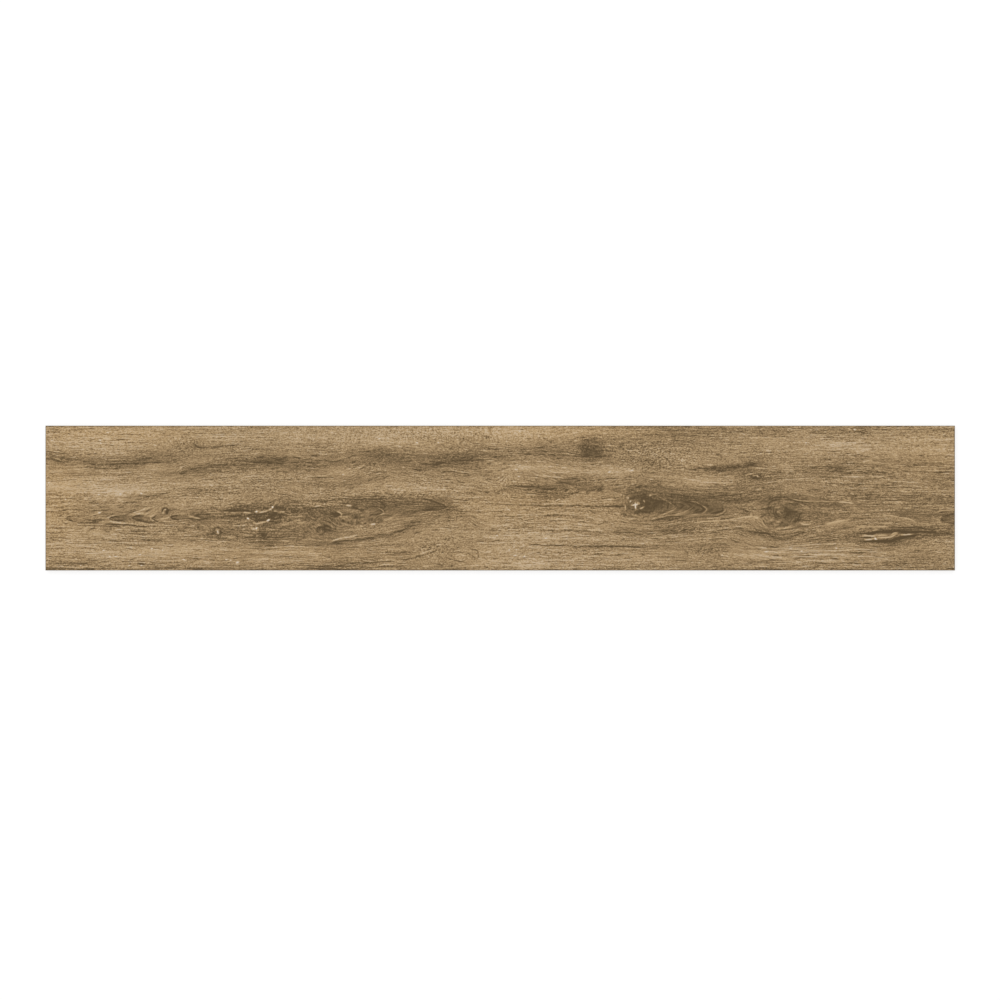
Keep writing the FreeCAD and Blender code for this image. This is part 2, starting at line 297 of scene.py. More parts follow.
# Thin growth lines and dark fibres: half width, grey levels, then along and down of each point in turn
growthLines = [
    # upper dark streak
    (0.7, -12, 3, 30, 9, 35, 20, 38.5), (0.7, -12, 7, 33, 14, 36.5, 26, 38),
    (0.7, -14, 44, 39.3, 60, 39.6, 74, 39, 95, 38.2, 126, 37.2), (0.9, -16, 88, 36, 100, 34.5, 109, 31),
    (0.7, -16, 86, 55.5, 98, 55.3), (0.9, -24, 148, 17, 151, 21, 156, 23, 166, 22.5),
    (0.7, -14, 166, 22, 178, 21.5, 190, 20.5), (0.8, -11, 133, 48, 140, 46.5, 152, 43, 175, 40.2, 192, 39.5),
    (0.7, -22, 174, 40, 181, 40.5), (0.7, -26, 211, 31.4, 220, 31.4),
    (0.7, -24, 208, 37.4, 222, 37.4, 238, 38.6), (0.8, -22, 246, 31.5, 255, 33),
    (0.8, -18, 244, 44, 256, 44.5), (0.6, -20, 258, 52.2, 290, 52.3), (0.6, 16, 256, 51, 284, 50.8),
    (0.6, -12, 196, 60, 212, 57, 228, 55), (0.7, -20, 304, 44.5, 312, 41), (0.7, -18, 315, 44, 324, 40),
    (0.7, -16, 296, 66, 304, 61), (0.7, 16, 297, 64.5, 304, 60), (0.6, 14, 330, 34.5, 341, 30.5),
    (0.8, -22, 374, 38.5, 390, 39.2, 402, 38), (0.7, -18, 368, 44.4, 383, 44.6),
    (0.7, -18, 395, 46.5, 408, 46.5), (0.6, 16, 368, 35.5, 376, 40), (0.6, 16, 377, 37, 389, 36.8),
    (0.8, -22, 409, 27, 415, 26.4), (0.8, -18, 404, 22.5, 409, 25), (0.8, -24, 416, 35.5, 426, 35.4),
    (0.8, -24, 414, 38.4, 426, 38.2), (0.7, -20, 441, 24.4, 446, 24.2), (0.8, -20, 447, 32.4, 453, 32),
    (0.8, -20, 480, 29.6, 486, 29.4), (0.8, -24, 527, 30.6, 545, 31.2),
    # flame
    (0.8, -24, 472, 61, 485, 61.4, 492, 62.6, 498, 64, 511, 64),
    (0.8, -22, 480, 68, 490, 69, 498, 70.4, 504, 72), (0.8, -22, 499, 76.5, 506, 77),
    (0.8, -22, 511, 77, 517, 75.3), (0.7, -20, 500, 52, 508, 54, 516, 55, 533, 53),
    (0.6, 22, 489, 49, 500, 52, 510, 54.5, 522, 55.4), (0.6, 18, 496, 49.8, 506, 51.6, 520, 52.6),
    (0.6, 18, 511, 76, 516, 73), (0.8, -26, 510, 58.2, 516, 57.6, 525, 58.4),
    (0.8, -18, 519, 66.5, 524, 64.6), (0.8, -20, 526, 68.5, 533, 67, 537, 65),
    (0.8, -18, 540, 67.6, 549, 64.8), (0.8, -20, 552, 66, 557, 62),
    # quiet middle
    (0.8, -20, 455, 79.5, 470, 79.8, 486, 80.2), (0.9, -26, 481, 80.6, 498, 80.4, 512, 80.6),
    (0.9, -36, 510, 80.5, 530, 80.7, 548, 81.2, 564, 81.4, 581, 81.4), (0.6, 14, 500, 79, 545, 79.4),
    (0.7, -14, 484, 91, 500, 91, 522, 90), (0.7, -20, 409, 51, 413, 56, 418, 58),
    (0.7, -24, 424, 95.5, 427, 99, 431, 100.6, 438, 102), (0.6, 16, 424, 97.5, 430, 102),
    (0.6, -16, 459, 118.5, 469, 118.6), (0.7, -9, 480, 120, 505, 120.2, 540, 121),
    (0.8, -22, 536, 121, 560, 121.2, 596, 122.2), (0.7, -18, 548, 128.6, 556, 129),
    (0.7, -14, 497, 128, 503, 128.2), (0.7, -16, 567, 107.2, 590, 107.4),
    # cathedral
    (0.6, -14, 34, 70, 60, 70.2), (0.7, -20, 96, 72.5, 112, 69.4, 126, 67.6),
    (0.7, -20, 0, 86.6, 12, 86.4, 23, 85.4), (0.8, -30, 17, 85.8, 23, 85.4), (0.7, -18, 32, 82.3, 62, 82.2),
    (0.8, -20, 73, 82.4, 80, 82.3), (0.6, 14, 38, 80.8, 58, 81), (0.7, -32, 47, 85.6, 58, 85.3, 66, 85.5),
    (0.6, 12, 63, 83.5, 72, 81), (0.7, -26, 12.6, 91.6, 15, 90.8, 18.4, 89.8),
    (0.7, -28, 43, 92.2, 48, 91, 53, 88.9, 59.6, 86.9), (0.6, 16, 15, 93, 20.5, 92.2),
    (0.8, -42, 21.2, 94, 23, 95.4, 27, 96.2, 32, 97.2), (0.7, -38, 21, 93.6, 22.6, 92.4, 27, 91.9),
    (0.8, -34, 32, 97.2, 42, 97.7, 56, 98.3), (0.6, 15, 28, 99.2, 40, 99.2, 52, 99.8, 60, 99.8),
    (0.7, -20, 27, 100.4, 50, 100.8, 77, 101.6), (0.9, -52, 61, 99, 70, 99.6, 78, 99.5, 86, 100.3),
    (0.7, -30, 86, 100.3, 94, 101.2, 102, 102.1), (0.6, 14, 80, 98.2, 90, 99.2),
    (0.6, 14, 75, 101.2, 87, 101.4), (0.7, -18, 78, 96.8, 87, 98),
    (0.9, -42, 89, 95, 94, 96.2, 100, 97.3, 111, 98), (0.6, 16, 96, 98.7, 111, 100),
    (0.8, -40, 87, 106.4, 101, 106.6), (0.7, -16, 80, 113.6, 100, 114.4, 120, 114.8),
    (0.8, -20, 45, 104.4, 50, 103.2), (0.8, -18, 34, 104, 37, 103), (0.7, -18, 61, 109.6, 67, 109.4),
    (0.6, 12, 0, 104.5, 12, 104.6), (0.6, 12, 14, 101, 23, 101.4),
    (0.9, -32, 64.2, 94, 65.4, 92.8, 69, 91.6, 73, 91.2), (0.8, -26, 64.4, 94.2, 68, 95.2, 74, 95.6, 80, 95),
    (0.9, -34, 88.2, 94.2, 87.8, 92.8, 89.6, 91.6, 94, 91, 98, 90.9),
    (0.7, -26, 81.6, 89, 86, 87.4, 91, 86, 95, 85.6), (0.8, -36, 100, 87.2, 103.4, 85.4, 106.4, 84),
    (0.7, 24, 86, 88.8, 93, 86.6, 99, 84.6, 105, 82.8, 111, 81.2),
    (0.7, 24, 82.4, 91.4, 85, 90, 89, 89.2, 93, 88.8, 98, 88),
    (0.6, 16, 97, 90, 101, 88.6, 105, 87, 110, 84.4), (0.6, 18, 61, 94, 63, 92.6, 66.6, 91, 71, 90),
    (0.8, -40, 107.2, 93.8, 110, 95.8, 113, 96.6), (0.7, -30, 107.6, 92.8, 110.4, 91, 112.4, 90.4),
    (0.9, -44, 125, 92.2, 127, 91, 133, 90.5), (0.8, -40, 125.2, 92.6, 130, 94.6, 135, 95),
    (0.9, -48, 117.4, 88.4, 117.4, 85.4, 119, 83.8, 121.6, 83.6, 123.2, 86, 122.4, 88.8),
    (1.1, -60, 121.4, 85.8, 121.6, 88.2), (0.7, -18, 135, 106.3, 142, 106.6),
    (0.8, -20, 132, 96.5, 150, 95.4, 163, 95), (0.7, -16, 154, 93, 165, 94.4),
    (0.8, -34, 177, 85.9, 187, 85.4, 196, 84.6), (0.8, -34, 206, 89.6, 214, 89.2, 222, 87.8),
    (0.9, -44, 220, 93.6, 226, 91.8, 231, 89), (0.8, -40, 208, 94.6, 213, 96.4, 219, 95.6),
    (0.8, -30, 178, 90.6, 190, 91, 200, 90.4), (0.7, -18, 141, 89.6, 168, 89.4),
    (0.8, -22, 300, 74.6, 318, 74.2, 340, 73.8), (0.7, -18, 272, 77.6, 284, 75.2, 300, 74.4),
    (0.7, -20, 271, 83.4, 282, 81.6, 300, 81.2, 314, 84, 319, 88),
    (0.8, -16, 298, 116, 320, 114, 340, 110.6, 356, 106, 366, 101.5, 376, 99),
    (0.8, -26, 284, 119, 290, 117.8, 297, 118.4),
    (0.8, 36, 285, 117.4, 289, 115.4, 295, 113.2, 304, 112, 312, 110.4),
    (0.7, -14, 262, 76.6, 275, 75.4, 290, 75.6), (0.6, 14, 268, 82.6, 276, 79.6, 284, 79),
    (0.8, -18, 307, 81, 316, 84, 324, 84), (0.6, 14, 339, 97.6, 350, 92.4, 357, 91),
    (0.7, -14, 352, 90.4, 372, 87.6),
    # open split
    (1.2, -60, 833, 116.6, 838, 117, 846, 116.4, 851, 114.2, 857, 112.4, 868, 110.8, 872, 110),
    (0.8, -50, 819, 115.8, 826, 115.8, 832, 116),
    (0.9, -50, 826, 107.4, 836, 107, 846, 107, 852, 106, 862, 107),
    (0.7, -50, 818, 112.6, 824, 112.4, 829.6, 112), (0.7, -45, 811, 109.2, 820, 109, 830, 108.8),
    (0.9, -50, 853, 108, 862, 108.2, 872, 107.6, 876, 107), (0.7, -30, 876, 106.6, 886, 107.4, 893, 108),
    (0.6, -26, 851, 91.8, 860, 91, 862, 91.6), (0.7, -26, 896.4, 94.6, 898.6, 95.6),
    (0.7, -20, 893.4, 87.6, 897, 86.8),
    # lower edge
    (0.8, -24, 0, 138.5, 20, 138.3, 46, 138.6), (0.7, -14, 0, 135, 18, 134.8),
    (0.7, -14, 92, 139.4, 136, 138.4), (0.9, -22, 0, 144, 50, 144), (0.7, -18, 258, 143, 300, 141.2),
    (0.7, -14, 300, 139.2, 332, 138), (0.8, -24, 296, 142.6, 310, 140, 325, 138.2, 352, 136),
    (0.9, -28, 357, 136, 372, 132, 386, 128, 393, 125.6), (0.7, -18, 300, 144.4, 330, 142.4, 362, 140.4),
    (0.7, -16, 312, 134, 340, 130.6, 362, 127), (0.6, 20, 300, 140.6, 322, 137, 350, 134),
    (0.6, 20, 366, 131.6, 380, 127.4, 390, 124.4), (0.7, -22, 398, 131, 406, 134.6, 416, 137, 424, 139),
    (0.7, -20, 404, 129, 412, 127, 422, 128, 429, 132, 432, 137),
    (0.6, 16, 408, 131, 414, 130, 421, 131, 426, 135),
    # round the knots
    (0.7, -8, 543, 56.4, 560, 54, 580, 52, 601, 52),
    (0.7, -24, 608, 96, 613, 94.8, 618, 93, 622, 92, 630, 91.4, 641, 90.6),
    (1, -22, 639, 77.6, 645, 77.2, 651, 78.2), (0.6, 14, 606, 94.6, 622, 90.8, 640, 89.6),
    (0.7, -9, 588, 110.2, 615, 108, 640, 105.6, 667, 104), (0.7, -14, 640, 95.4, 668, 94),
    (0.9, -7, 648, 43.4, 664, 43.4, 676, 45, 684, 42.4, 698, 41, 711, 38.5),
    (0.8, -18, 703, 52.4, 708, 52.8, 716, 53.2, 722, 53),
    (0.8, -18, 708, 108, 722, 108.4, 729, 112, 736, 114, 746, 113),
    (0.7, -18, 640, 108.6, 660, 107.4, 680, 104.6, 700, 103, 712, 104),
    (0.6, 18, 644, 106.6, 664, 105, 684, 102.6, 700, 100.6), (0.7, -18, 736, 104.6, 748, 103.8, 758, 101),
    (0.7, -18, 742, 109, 756, 107.6, 770, 106), (0.6, 18, 728, 106.2, 744, 105.8, 756, 104),
    (0.8, -22, 752, 76.4, 771, 78.2), (0.8, -9, 742, 111.5, 756, 110),
    (0.7, -30, 716.8, 94, 718.6, 96.4, 719.8, 99, 722, 102), (0.8, -32, 714.6, 92.8, 717, 91.8, 719.6, 90.2),
    (0.8, -34, 749, 96.6, 752, 95.6), (0.8, -30, 736, 97.2, 738, 97.4), (0.8, -30, 725.6, 97, 727.6, 97.6),
    (0.7, -14, 724, 84, 727, 80, 732, 78),
    # upper right
    (0.8, -18, 598, 10, 606, 10.4), (0.8, -18, 609, 10, 618, 9), (0.8, -14, 727, 3, 731, 8),
    (0.8, -14, 793, 5.6, 817, 6.2), (0.7, -8, 788, 45.8, 800, 47, 850, 48),
    (0.6, 8, 780, 51.5, 800, 51.4, 842, 51.4), (0.7, -7, 874, 54.5, 910, 54.4), (0.7, -7, 800, 71, 846, 71.4),
    (0.7, -12, 820, 74.4, 848, 75.4, 862, 75),
]

# Single fibres, under a unit wide: grey levels, then along and down of each point in turn
fineLines = [
    # left end, upper half
    (-14, 10, 14.3, 13, 14.6), (-12, 44, 14, 50, 14.3), (-12, 70, 14.6, 83, 14.2), (-14, 43, 23.6, 48, 23.2),
    (-12, 93, 11, 98, 10), (-12, 7, 4.5, 10, 4.6), (-16, 15, 34.5, 19, 33.4), (-12, 20, 35, 26, 34),
    (-22, 38, 36.4, 41, 36.6), (-12, 93, 27.5, 98, 26.5), (-18, 104, 29, 108, 28.6), (-14, 96, 32, 100, 31.2),
    (-16, 102, 33.6, 107, 33), (-12, 70, 43.6, 73, 43.2), (-18, 46, 39.2, 50, 39.2),
    (-18, 60, 39.5, 70, 39.5), (-18, 74, 38.4, 85, 38.4), (-18, 88, 38.3, 94, 38.3),
    (-18, 98, 38.5, 102, 38.5), (-18, 109, 37.4, 116, 37.4), (-18, 122, 37.4, 125, 37.4),
    # left end, lower half
    (-16, 17, 77, 19, 77.5), (-14, 10, 81, 12, 82.6), (-12, 78, 79, 83, 77.4),
    (-12, 80, 87, 90, 84.6, 97, 82.6), (-14, 48, 96.7, 54, 96.6), (-14, 46, 95.4, 60, 94.6),
    (-16, 60, 106.6, 65, 106.4), (-14, 110, 107, 120, 106.4), (-14, 30, 106.2, 37, 103.4),
    (-14, 42, 106.4, 50, 103), (-16, 4, 113, 9, 112.6), (-18, 8, 114.6, 9, 115.6), (-12, 10, 116.6, 18, 116),
    (-16, 43, 113.4, 46, 113.2), (-14, 76, 113.6, 81, 113.4), (-12, 95, 114.4, 118, 115),
    (-14, 93, 121, 97, 121.6), (-14, 75, 126.6, 79, 126.4), (-14, 14, 129.6, 19, 129.2),
    (-12, 22, 134, 30, 133), (-14, 34, 135, 38, 134.4), (-16, 84, 136, 88, 134, 91, 132.4),
    (-12, 92, 138.6, 110, 137.8), (-22, 40, 144, 50, 144.2), (-18, 56, 143.8, 60, 143),
    (-14, 108, 141, 112, 140.6), (-14, 100, 143, 130, 143.4), (-14, 94, 139.6, 99, 139.4),
    (12, 20, 116, 25, 115.8),
    # over the cathedral
    (-18, 136, 12.4, 138, 12.4), (-16, 140, 12, 142, 11), (-14, 166, 23.4, 172, 21.6, 176, 21.4),
    (-16, 180, 21, 183, 21), (-14, 185, 20.4, 190, 20.6), (-14, 184, 23, 189, 23.4),
    (-14, 178, 40, 183, 38.6), (-24, 186, 39.4, 190, 39.4), (-16, 195, 39.8, 212, 39.4),
    (-16, 145, 43.4, 148, 44.8), (-12, 147, 44.6, 152, 43.4), (-18, 134, 48.6, 137, 48.8, 141, 47),
    (-12, 192, 36, 202, 35.4), (-12, 205, 37.4, 210, 36.6), (-14, 218, 36, 226, 36.6),
    (-22, 223, 38.4, 227, 38.4), (-16, 229, 35.4, 238, 34.6), (-12, 231, 38, 240, 39.4),
    (-12, 236, 36.6, 241, 36), (-14, 238, 32.4, 246, 32.4), (-22, 252, 32.4, 255, 33),
    (-12, 247, 37.6, 255, 37.4), (-14, 251, 41, 254, 40.6), (-12, 207, 42.6, 210, 42.2),
    (-12, 225, 43.4, 229, 43.4), (-14, 212, 55.4, 219, 54.4), (-12, 229, 54.6, 233, 54),
    (-12, 225, 60, 228, 60.6), (-12, 187, 63.4, 193, 63.4), (12, 187, 30, 195, 29.6), (12, 131, 47, 137, 43),
    (12, 134, 44, 138, 41), (14, 224, 51, 228, 52.4),
    # cathedral and under it
    (14, 130, 87.4, 138, 87.4), (-14, 145, 88.6, 150, 87.6), (-14, 150, 91, 156, 91.6),
    (-18, 149, 94, 158, 95), (-14, 143, 93, 150, 94.6), (-18, 138, 106.6, 139.4, 106.4),
    (-16, 160, 110, 170, 109.4), (-12, 168, 104, 171, 102.6), (-16, 174, 104, 177, 108),
    (-14, 176, 108, 172, 111), (-14, 183, 115.4, 188, 114.4), (14, 182, 114.4, 188, 113.4),
    (-14, 196, 86, 206, 86.4, 209, 85.6), (-16, 203, 90, 208, 90.4), (-16, 213, 108, 219, 109.4),
    (-14, 222, 109, 218, 111.4), (-14, 222, 101.6, 227, 102.4), (12, 247, 96, 259, 95.4),
    (18, 234, 116, 246, 116.2), (14, 242, 121.6, 260, 121.4), (-16, 142, 135.4, 147, 135),
    (-14, 147, 136, 153, 135.8), (-12, 130, 141, 136, 140), (-14, 140, 144, 170, 144.2),
    # over the ring tips
    (-14, 281, 20.6, 287, 20.5), (-12, 299, 20, 302, 19.6), (14, 293, 27.6, 301, 26.9),
    (14, 267, 27.5, 272, 27.6), (12, 274, 28.4, 280, 28.4), (-18, 260, 34.2, 267, 34.6),
    (-14, 270, 35, 276, 36.4), (-12, 260, 37, 270, 38.4, 275, 38), (-18, 278, 34, 284, 36.8),
    (-14, 284, 36.6, 292, 36.6), (-12, 290, 38, 293, 36, 298, 34.6), (-12, 276, 40.6, 285, 39.6),
    (-14, 262, 41.4, 266, 42), (-12, 268, 44.6, 275, 44), (-14, 262, 46, 266, 46.6), (-12, 277, 45, 284, 46),
    (-22, 302, 32.6, 306, 31.9), (-12, 306, 31, 313, 30), (-14, 330, 32, 332, 32.8),
    (-16, 333, 33.6, 339, 31), (-16, 341, 30, 346, 29), (-16, 343, 33, 345, 34), (-18, 327, 39, 330, 38.4),
    (-14, 344, 20.4, 349, 20.2), (-12, 357, 21.6, 361, 21.4), (-14, 354, 35, 357, 33.8),
    (-12, 356, 33, 362, 32.4), (-12, 362, 36, 368, 35.4), (-12, 371, 32, 375, 33.6),
    (-14, 384, 36, 390, 36.2), (-16, 385, 41, 390, 42), (-12, 322, 56, 327, 54.4), (-14, 328, 54.6, 334, 51),
    (-14, 336, 54.6, 342, 51.4), (-12, 341, 52.4, 346, 49.6), (-14, 313, 60, 317, 57.5),
    (-14, 285, 65.6, 291, 63.6), (-12, 278, 65.4, 284, 64.4), (-16, 268, 53, 280, 52.6),
    # ring tips and under them
    (-14, 260, 85.4, 267, 85.2), (14, 267, 82, 271, 81.2, 276, 80.2), (-14, 312, 116, 320, 114.6),
    (-14, 320, 112.6, 330, 113.5), (-16, 330, 109.8, 342, 109.3), (-12, 342, 111, 350, 109.4),
    (-14, 352, 107, 358, 106.6), (-12, 357, 108.6, 361, 107), (-12, 365, 102.6, 368, 99),
    (-14, 366, 98, 371, 97.4), (-14, 287, 117.2, 292, 116, 300, 115.7, 307, 115.6),
    (-12, 270, 121, 276, 120.4), (-14, 260, 121.4, 263, 120.8), (-12, 280, 132.4, 287, 132),
    (-14, 340, 128.6, 342, 127.4), (-14, 290, 141.4, 300, 139.8, 310, 138, 322, 136.4),
    (-16, 262, 141, 272, 141.6, 282, 141), (-12, 318, 138, 325, 137.6), (-16, 260, 144, 300, 144),
    (12, 332, 140.6, 345, 139.4), (12, 377, 141.4, 387, 140.6), (12, 346, 135.6, 352, 135.4),
    (-14, 381, 125.4, 386, 124.6), (-12, 378, 122, 383, 120.6), (-14, 383, 123, 388, 122),
    (-12, 372, 85, 390, 83.6), (-22, 286, 91.6, 292, 91.8, 295, 89.6, 293, 88, 288, 88.6, 285, 87.4),
    (16, 290, 86.6, 296, 87.6, 297.5, 89, 296, 90.4),
    (18, 330, 81, 336, 84, 339, 86.6, 338.5, 88.4, 334, 90.6), (-12, 334, 84, 337, 86.4, 336, 88.6),
    (14, 313, 83.2, 315, 83.2), (12, 305, 86.5, 308, 86.5), (12, 315, 90, 318, 90), (14, 273, 104, 275, 104),
    (14, 275.6, 106, 277.6, 106), (-16, 279, 102, 281, 102.4), (-16, 281, 107, 283, 107.4),
    (-14, 272, 103, 274, 102.4), (-14, 274, 109.6, 278, 110),
    # over the flame
    (-12, 444, 12.4, 446, 13), (-12, 451, 17, 454, 18), (-14, 473, 19, 476, 20), (-12, 505, 16.4, 507, 17),
    (-14, 405, 23, 408, 24.6), (-20, 400, 29.4, 405, 29.2), (-20, 409, 29.5, 412, 30),
    (-18, 412, 31.4, 414, 32), (-20, 407, 32.4, 410, 32.2), (-20, 416, 33.4, 420, 32.2),
    (-18, 390, 37, 400, 37.4), (-16, 390, 38.6, 396, 39.6), (-14, 426, 34, 430, 31.8),
    (-16, 430, 31.8, 434, 31.4), (-14, 436, 30.6, 440, 30), (-14, 443, 26.8, 445, 27),
    (-22, 449, 24.3, 454, 24.2), (-12, 420, 28, 428, 23.6), (-22, 442, 38.8, 447, 38.1),
    (-18, 457, 38.2, 462, 38.6), (-12, 466, 39.2, 472, 39), (-16, 425, 42, 427.4, 43.4),
    (-20, 430, 41, 432, 42.2), (-14, 433, 43.2, 436, 43.9), (-14, 441, 47.8, 448, 47),
    (-12, 440, 54.6, 445, 54.4), (-14, 452, 46.2, 458, 44, 465, 43.4), (-12, 416, 58, 421, 57.6),
    (-18, 440, 67.4, 444, 67), (-16, 461.6, 71, 463, 72.4), (-16, 470, 60.8, 478, 61.4),
    (-16, 497, 64, 505, 64.6, 510, 63.6), (-18, 500, 71.2, 503, 71.4), (-14, 497, 52, 505, 55),
    (14, 495, 49, 505, 51.6, 520, 53.4), (12, 503, 46, 510, 47.6, 520, 47), (-12, 510, 49.6, 520, 48.6),
    (-16, 495, 22, 500, 23.6), (-14, 494, 19.4, 497, 18), (-12, 499, 19.4, 502, 20),
    (-16, 495, 26.4, 502, 27), (-18, 507, 29, 510.5, 30.6), (-18, 511, 33.5, 516, 33.1),
    (-12, 515, 26, 520, 26.4), (-12, 448, 52.6, 453, 51.6, 457, 49), (-12, 452, 55.4, 457, 52.4, 460, 49.6),
    (-12, 455, 57.6, 459, 54, 461, 51.6), (12, 450, 54, 456, 50.8, 459, 48),
    (12, 454, 57, 458, 53.4, 461, 50.4), (12, 456, 59.4, 460, 55, 462, 52.4), (12, 472, 42, 484, 41.6),
    (12, 470, 43.6, 486, 43.4), (12, 441, 35.6, 449, 35.4), (14, 408, 68.6, 411, 68),
    # under the flame
    (-12, 412, 85, 417, 87.4), (-14, 430, 116, 440, 117, 444, 118.4), (-16, 408, 125.4, 411, 124, 415, 122),
    (12, 409, 127, 413, 125.6, 416, 126.6), (-20, 425, 124.4, 430, 124.6, 433, 126.4, 434, 129),
    (-14, 431, 128.4, 434, 130.4, 433, 133), (-18, 395, 127.6, 399, 127), (12, 394, 129, 398, 128),
    (-14, 397, 133, 399, 135.6), (-20, 406, 131, 407.6, 131.5), (-16, 440, 133, 442, 135),
    (-16, 395, 140, 398, 140.4), (-16, 405, 142, 408, 141), (-12, 412, 133, 414, 136, 417, 138.4),
    (12, 412, 134, 416, 137), (-16, 439, 142, 445, 143.4), (-14, 450, 143.4, 454, 143.6),
    (-14, 446, 127.4, 454, 127.5), (-14, 448, 133.6, 454, 133.4), (-12, 456, 137.2, 463, 137.5),
    (-16, 493, 79.4, 495, 81), (-14, 474, 79.8, 481, 81), (12, 503, 78.6, 520, 78.6),
    (-12, 500, 90.4, 512, 90.4), (-14, 495, 105.5, 510, 105.3), (-12, 507, 107.5, 518, 107.2),
    (-14, 483, 112.4, 487, 112.6), (-18, 451, 112.6, 453, 113.6), (-16, 472, 120, 475, 119.4),
    (-16, 485, 119.6, 497, 119.8), (-16, 500, 120.6, 507, 120.2), (-20, 508, 120.8, 520, 120.4),
    (-22, 499, 128, 502, 129), (-18, 493, 127.4, 495, 128.4), (-14, 509, 128.3, 520, 127.6),
    (-12, 480, 123, 482, 121), (-12, 511, 136, 517, 136.4), (12, 497, 103, 508, 102.9),
    (14, 493, 139, 504, 138.6),
    # round the dark spot
    (-20, 545, 39.4, 550, 39.6), (-12, 550, 40.2, 556, 40), (-18, 531, 55.4, 534, 55, 537, 55.6),
    (-14, 538, 53, 542, 55), (-14, 544, 55.4, 550, 55.2), (-12, 552, 55, 558, 54.4),
    (-14, 562, 53.4, 572, 53.6), (-12, 580, 52, 590, 51.4), (-12, 540, 60, 548, 59.4),
    (-12, 549, 63, 552, 61), (-16, 552, 67.4, 555, 66, 557, 63.6), (-14, 556, 62.4, 558, 60),
    (-14, 583, 65.6, 589, 65.4), (-18, 591, 62.6, 594, 61.6), (-16, 593, 61, 597, 60),
    (-12, 600, 60, 602, 62), (-14, 606, 58, 610, 57.4), (-14, 581, 17, 584, 17), (-14, 583, 24.4, 589, 24.4),
    (-14, 592, 23, 594, 24.4), (-14, 578, 28, 580, 28.6), (-14, 569, 33, 570.4, 32),
    (-12, 565, 18.4, 570, 19), (-12, 569, 17, 572, 18.6), (-12, 611, 25, 614, 24.4), (-12, 600, 36, 604, 35),
    (-12, 606, 36, 609, 36.4), (-12, 604, 40.4, 609, 40), (-14, 620, 38, 622, 39), (-14, 631, 40.6, 636, 40),
    (-20, 648, 44.4, 651, 44.4), (-12, 625, 12, 632, 11), (-12, 624, 57.4, 630, 56.8),
    (-14, 613, 68, 617, 69), (-12, 624, 71.6, 628, 72), (-12, 635, 70.6, 640, 71), (16, 636, 34, 641, 34.4),
    (14, 635, 35.6, 638, 36), (16, 637, 44, 640, 43.4), (14, 639, 48, 641, 48), (12, 616, 26, 619, 27),
    (14, 583, 25.6, 590, 25.4), (14, 578, 40.2, 582, 40.2), (14, 553, 37, 559, 36), (12, 520, 46, 525, 46.6),
    (12, 580, 45.2, 590, 45.4), (14, 603, 54.2, 608, 54.4), (12, 571, 68.6, 577, 69.4),
    (14, 530, 15, 534, 16),
    # left of the dark knot and under it
    (-14, 525, 80.6, 530, 81), (-14, 534, 82, 543, 81.4, 550, 81.8), (-14, 550, 81.4, 560, 81.6),
    (-14, 560, 81.8, 570, 81.4, 578, 81.8), (-12, 535, 97, 540, 96.6), (-14, 525, 96.6, 529, 97.6),
    (-16, 556, 98.6, 560, 97.4), (-12, 560, 98, 565, 98.2), (-14, 566, 96.6, 572, 96.4),
    (-14, 520, 104.6, 530, 105), (-12, 530, 106, 537, 107), (-14, 551, 106, 556, 107.4),
    (-14, 567, 107.2, 572, 107.6), (-14, 575, 114.4, 580, 114), (-18, 528, 121, 532, 122.4),
    (-12, 532, 121, 542, 121), (-20, 543, 121.4, 547, 122), (-18, 550, 121.8, 558, 122.4),
    (-12, 560, 121.6, 570, 122, 580, 121.4), (-16, 580, 121.4, 592, 122.6), (-12, 592, 122.8, 601, 122.4),
    (14, 533, 125.6, 538, 124.6), (-14, 524, 128, 530, 128.6), (-22, 549, 129.6, 553, 128.4),
    (-16, 553, 129.4, 557, 129.4), (-16, 558, 130, 563, 129.6), (-14, 571, 129.8, 580, 129.2),
    (-18, 596, 129.8, 600, 130.2), (16, 545, 125.6, 547, 126), (-14, 581, 133, 585, 132.6),
    (-12, 604, 138, 611, 137.4), (-16, 634, 135.6, 643, 135.8), (-16, 640, 126, 643, 128),
    (-12, 642, 129.6, 645, 130.6), (-14, 604, 123.4, 610, 123.8), (-12, 610, 123.4, 615, 122.8),
    (-14, 605, 113.8, 616, 114), (-12, 620, 112.4, 630, 113.4), (14, 601, 119.8, 606, 119.6),
    (14, 646, 132.6, 650, 132.8), (-12, 590, 109.8, 600, 110), (-16, 600, 109.6, 610, 108.2),
    (-18, 616, 107, 625, 105.6), (-22, 625, 106.4, 632, 106), (-14, 636, 105.4, 642, 104.4),
    (-14, 643, 105, 650, 105), (14, 603, 92.6, 608, 90.4, 613, 88.4), (12, 607, 94.6, 613, 92, 618, 90.4),
    (14, 618, 89.6, 623, 87), (16, 632.4, 80.4, 631, 83, 627, 86, 621, 88.6, 615, 90.4),
    (18, 648.6, 80.6, 647.4, 82.4, 644, 84.4, 640, 86.4, 634, 88.4, 628, 89.6),
    (-24, 652, 78.6, 656, 81, 659, 83.6, 659.2, 85, 656, 86.6, 650, 87.4),
    (-14, 622, 96, 628, 94.4, 634, 93.6), (-14, 630, 96.4, 641, 94.7), (-16, 610, 101.6, 612, 101.4),
    (-14, 578, 91, 580, 92), (-12, 575, 89.4, 578, 90),
    # over the round knot
    (-12, 662, 9, 664, 10), (12, 678, 15, 685, 14.6), (-20, 714.6, 6, 716.6, 7, 717.8, 9.2),
    (-16, 718, 4, 720, 5.4), (-12, 740, 3.4, 745, 5, 749, 5.4), (-14, 671, 29.4, 675, 30.6),
    (-12, 716, 27, 718, 27), (-14, 739, 27.2, 744, 26.8), (-12, 757, 33, 759, 33.6),
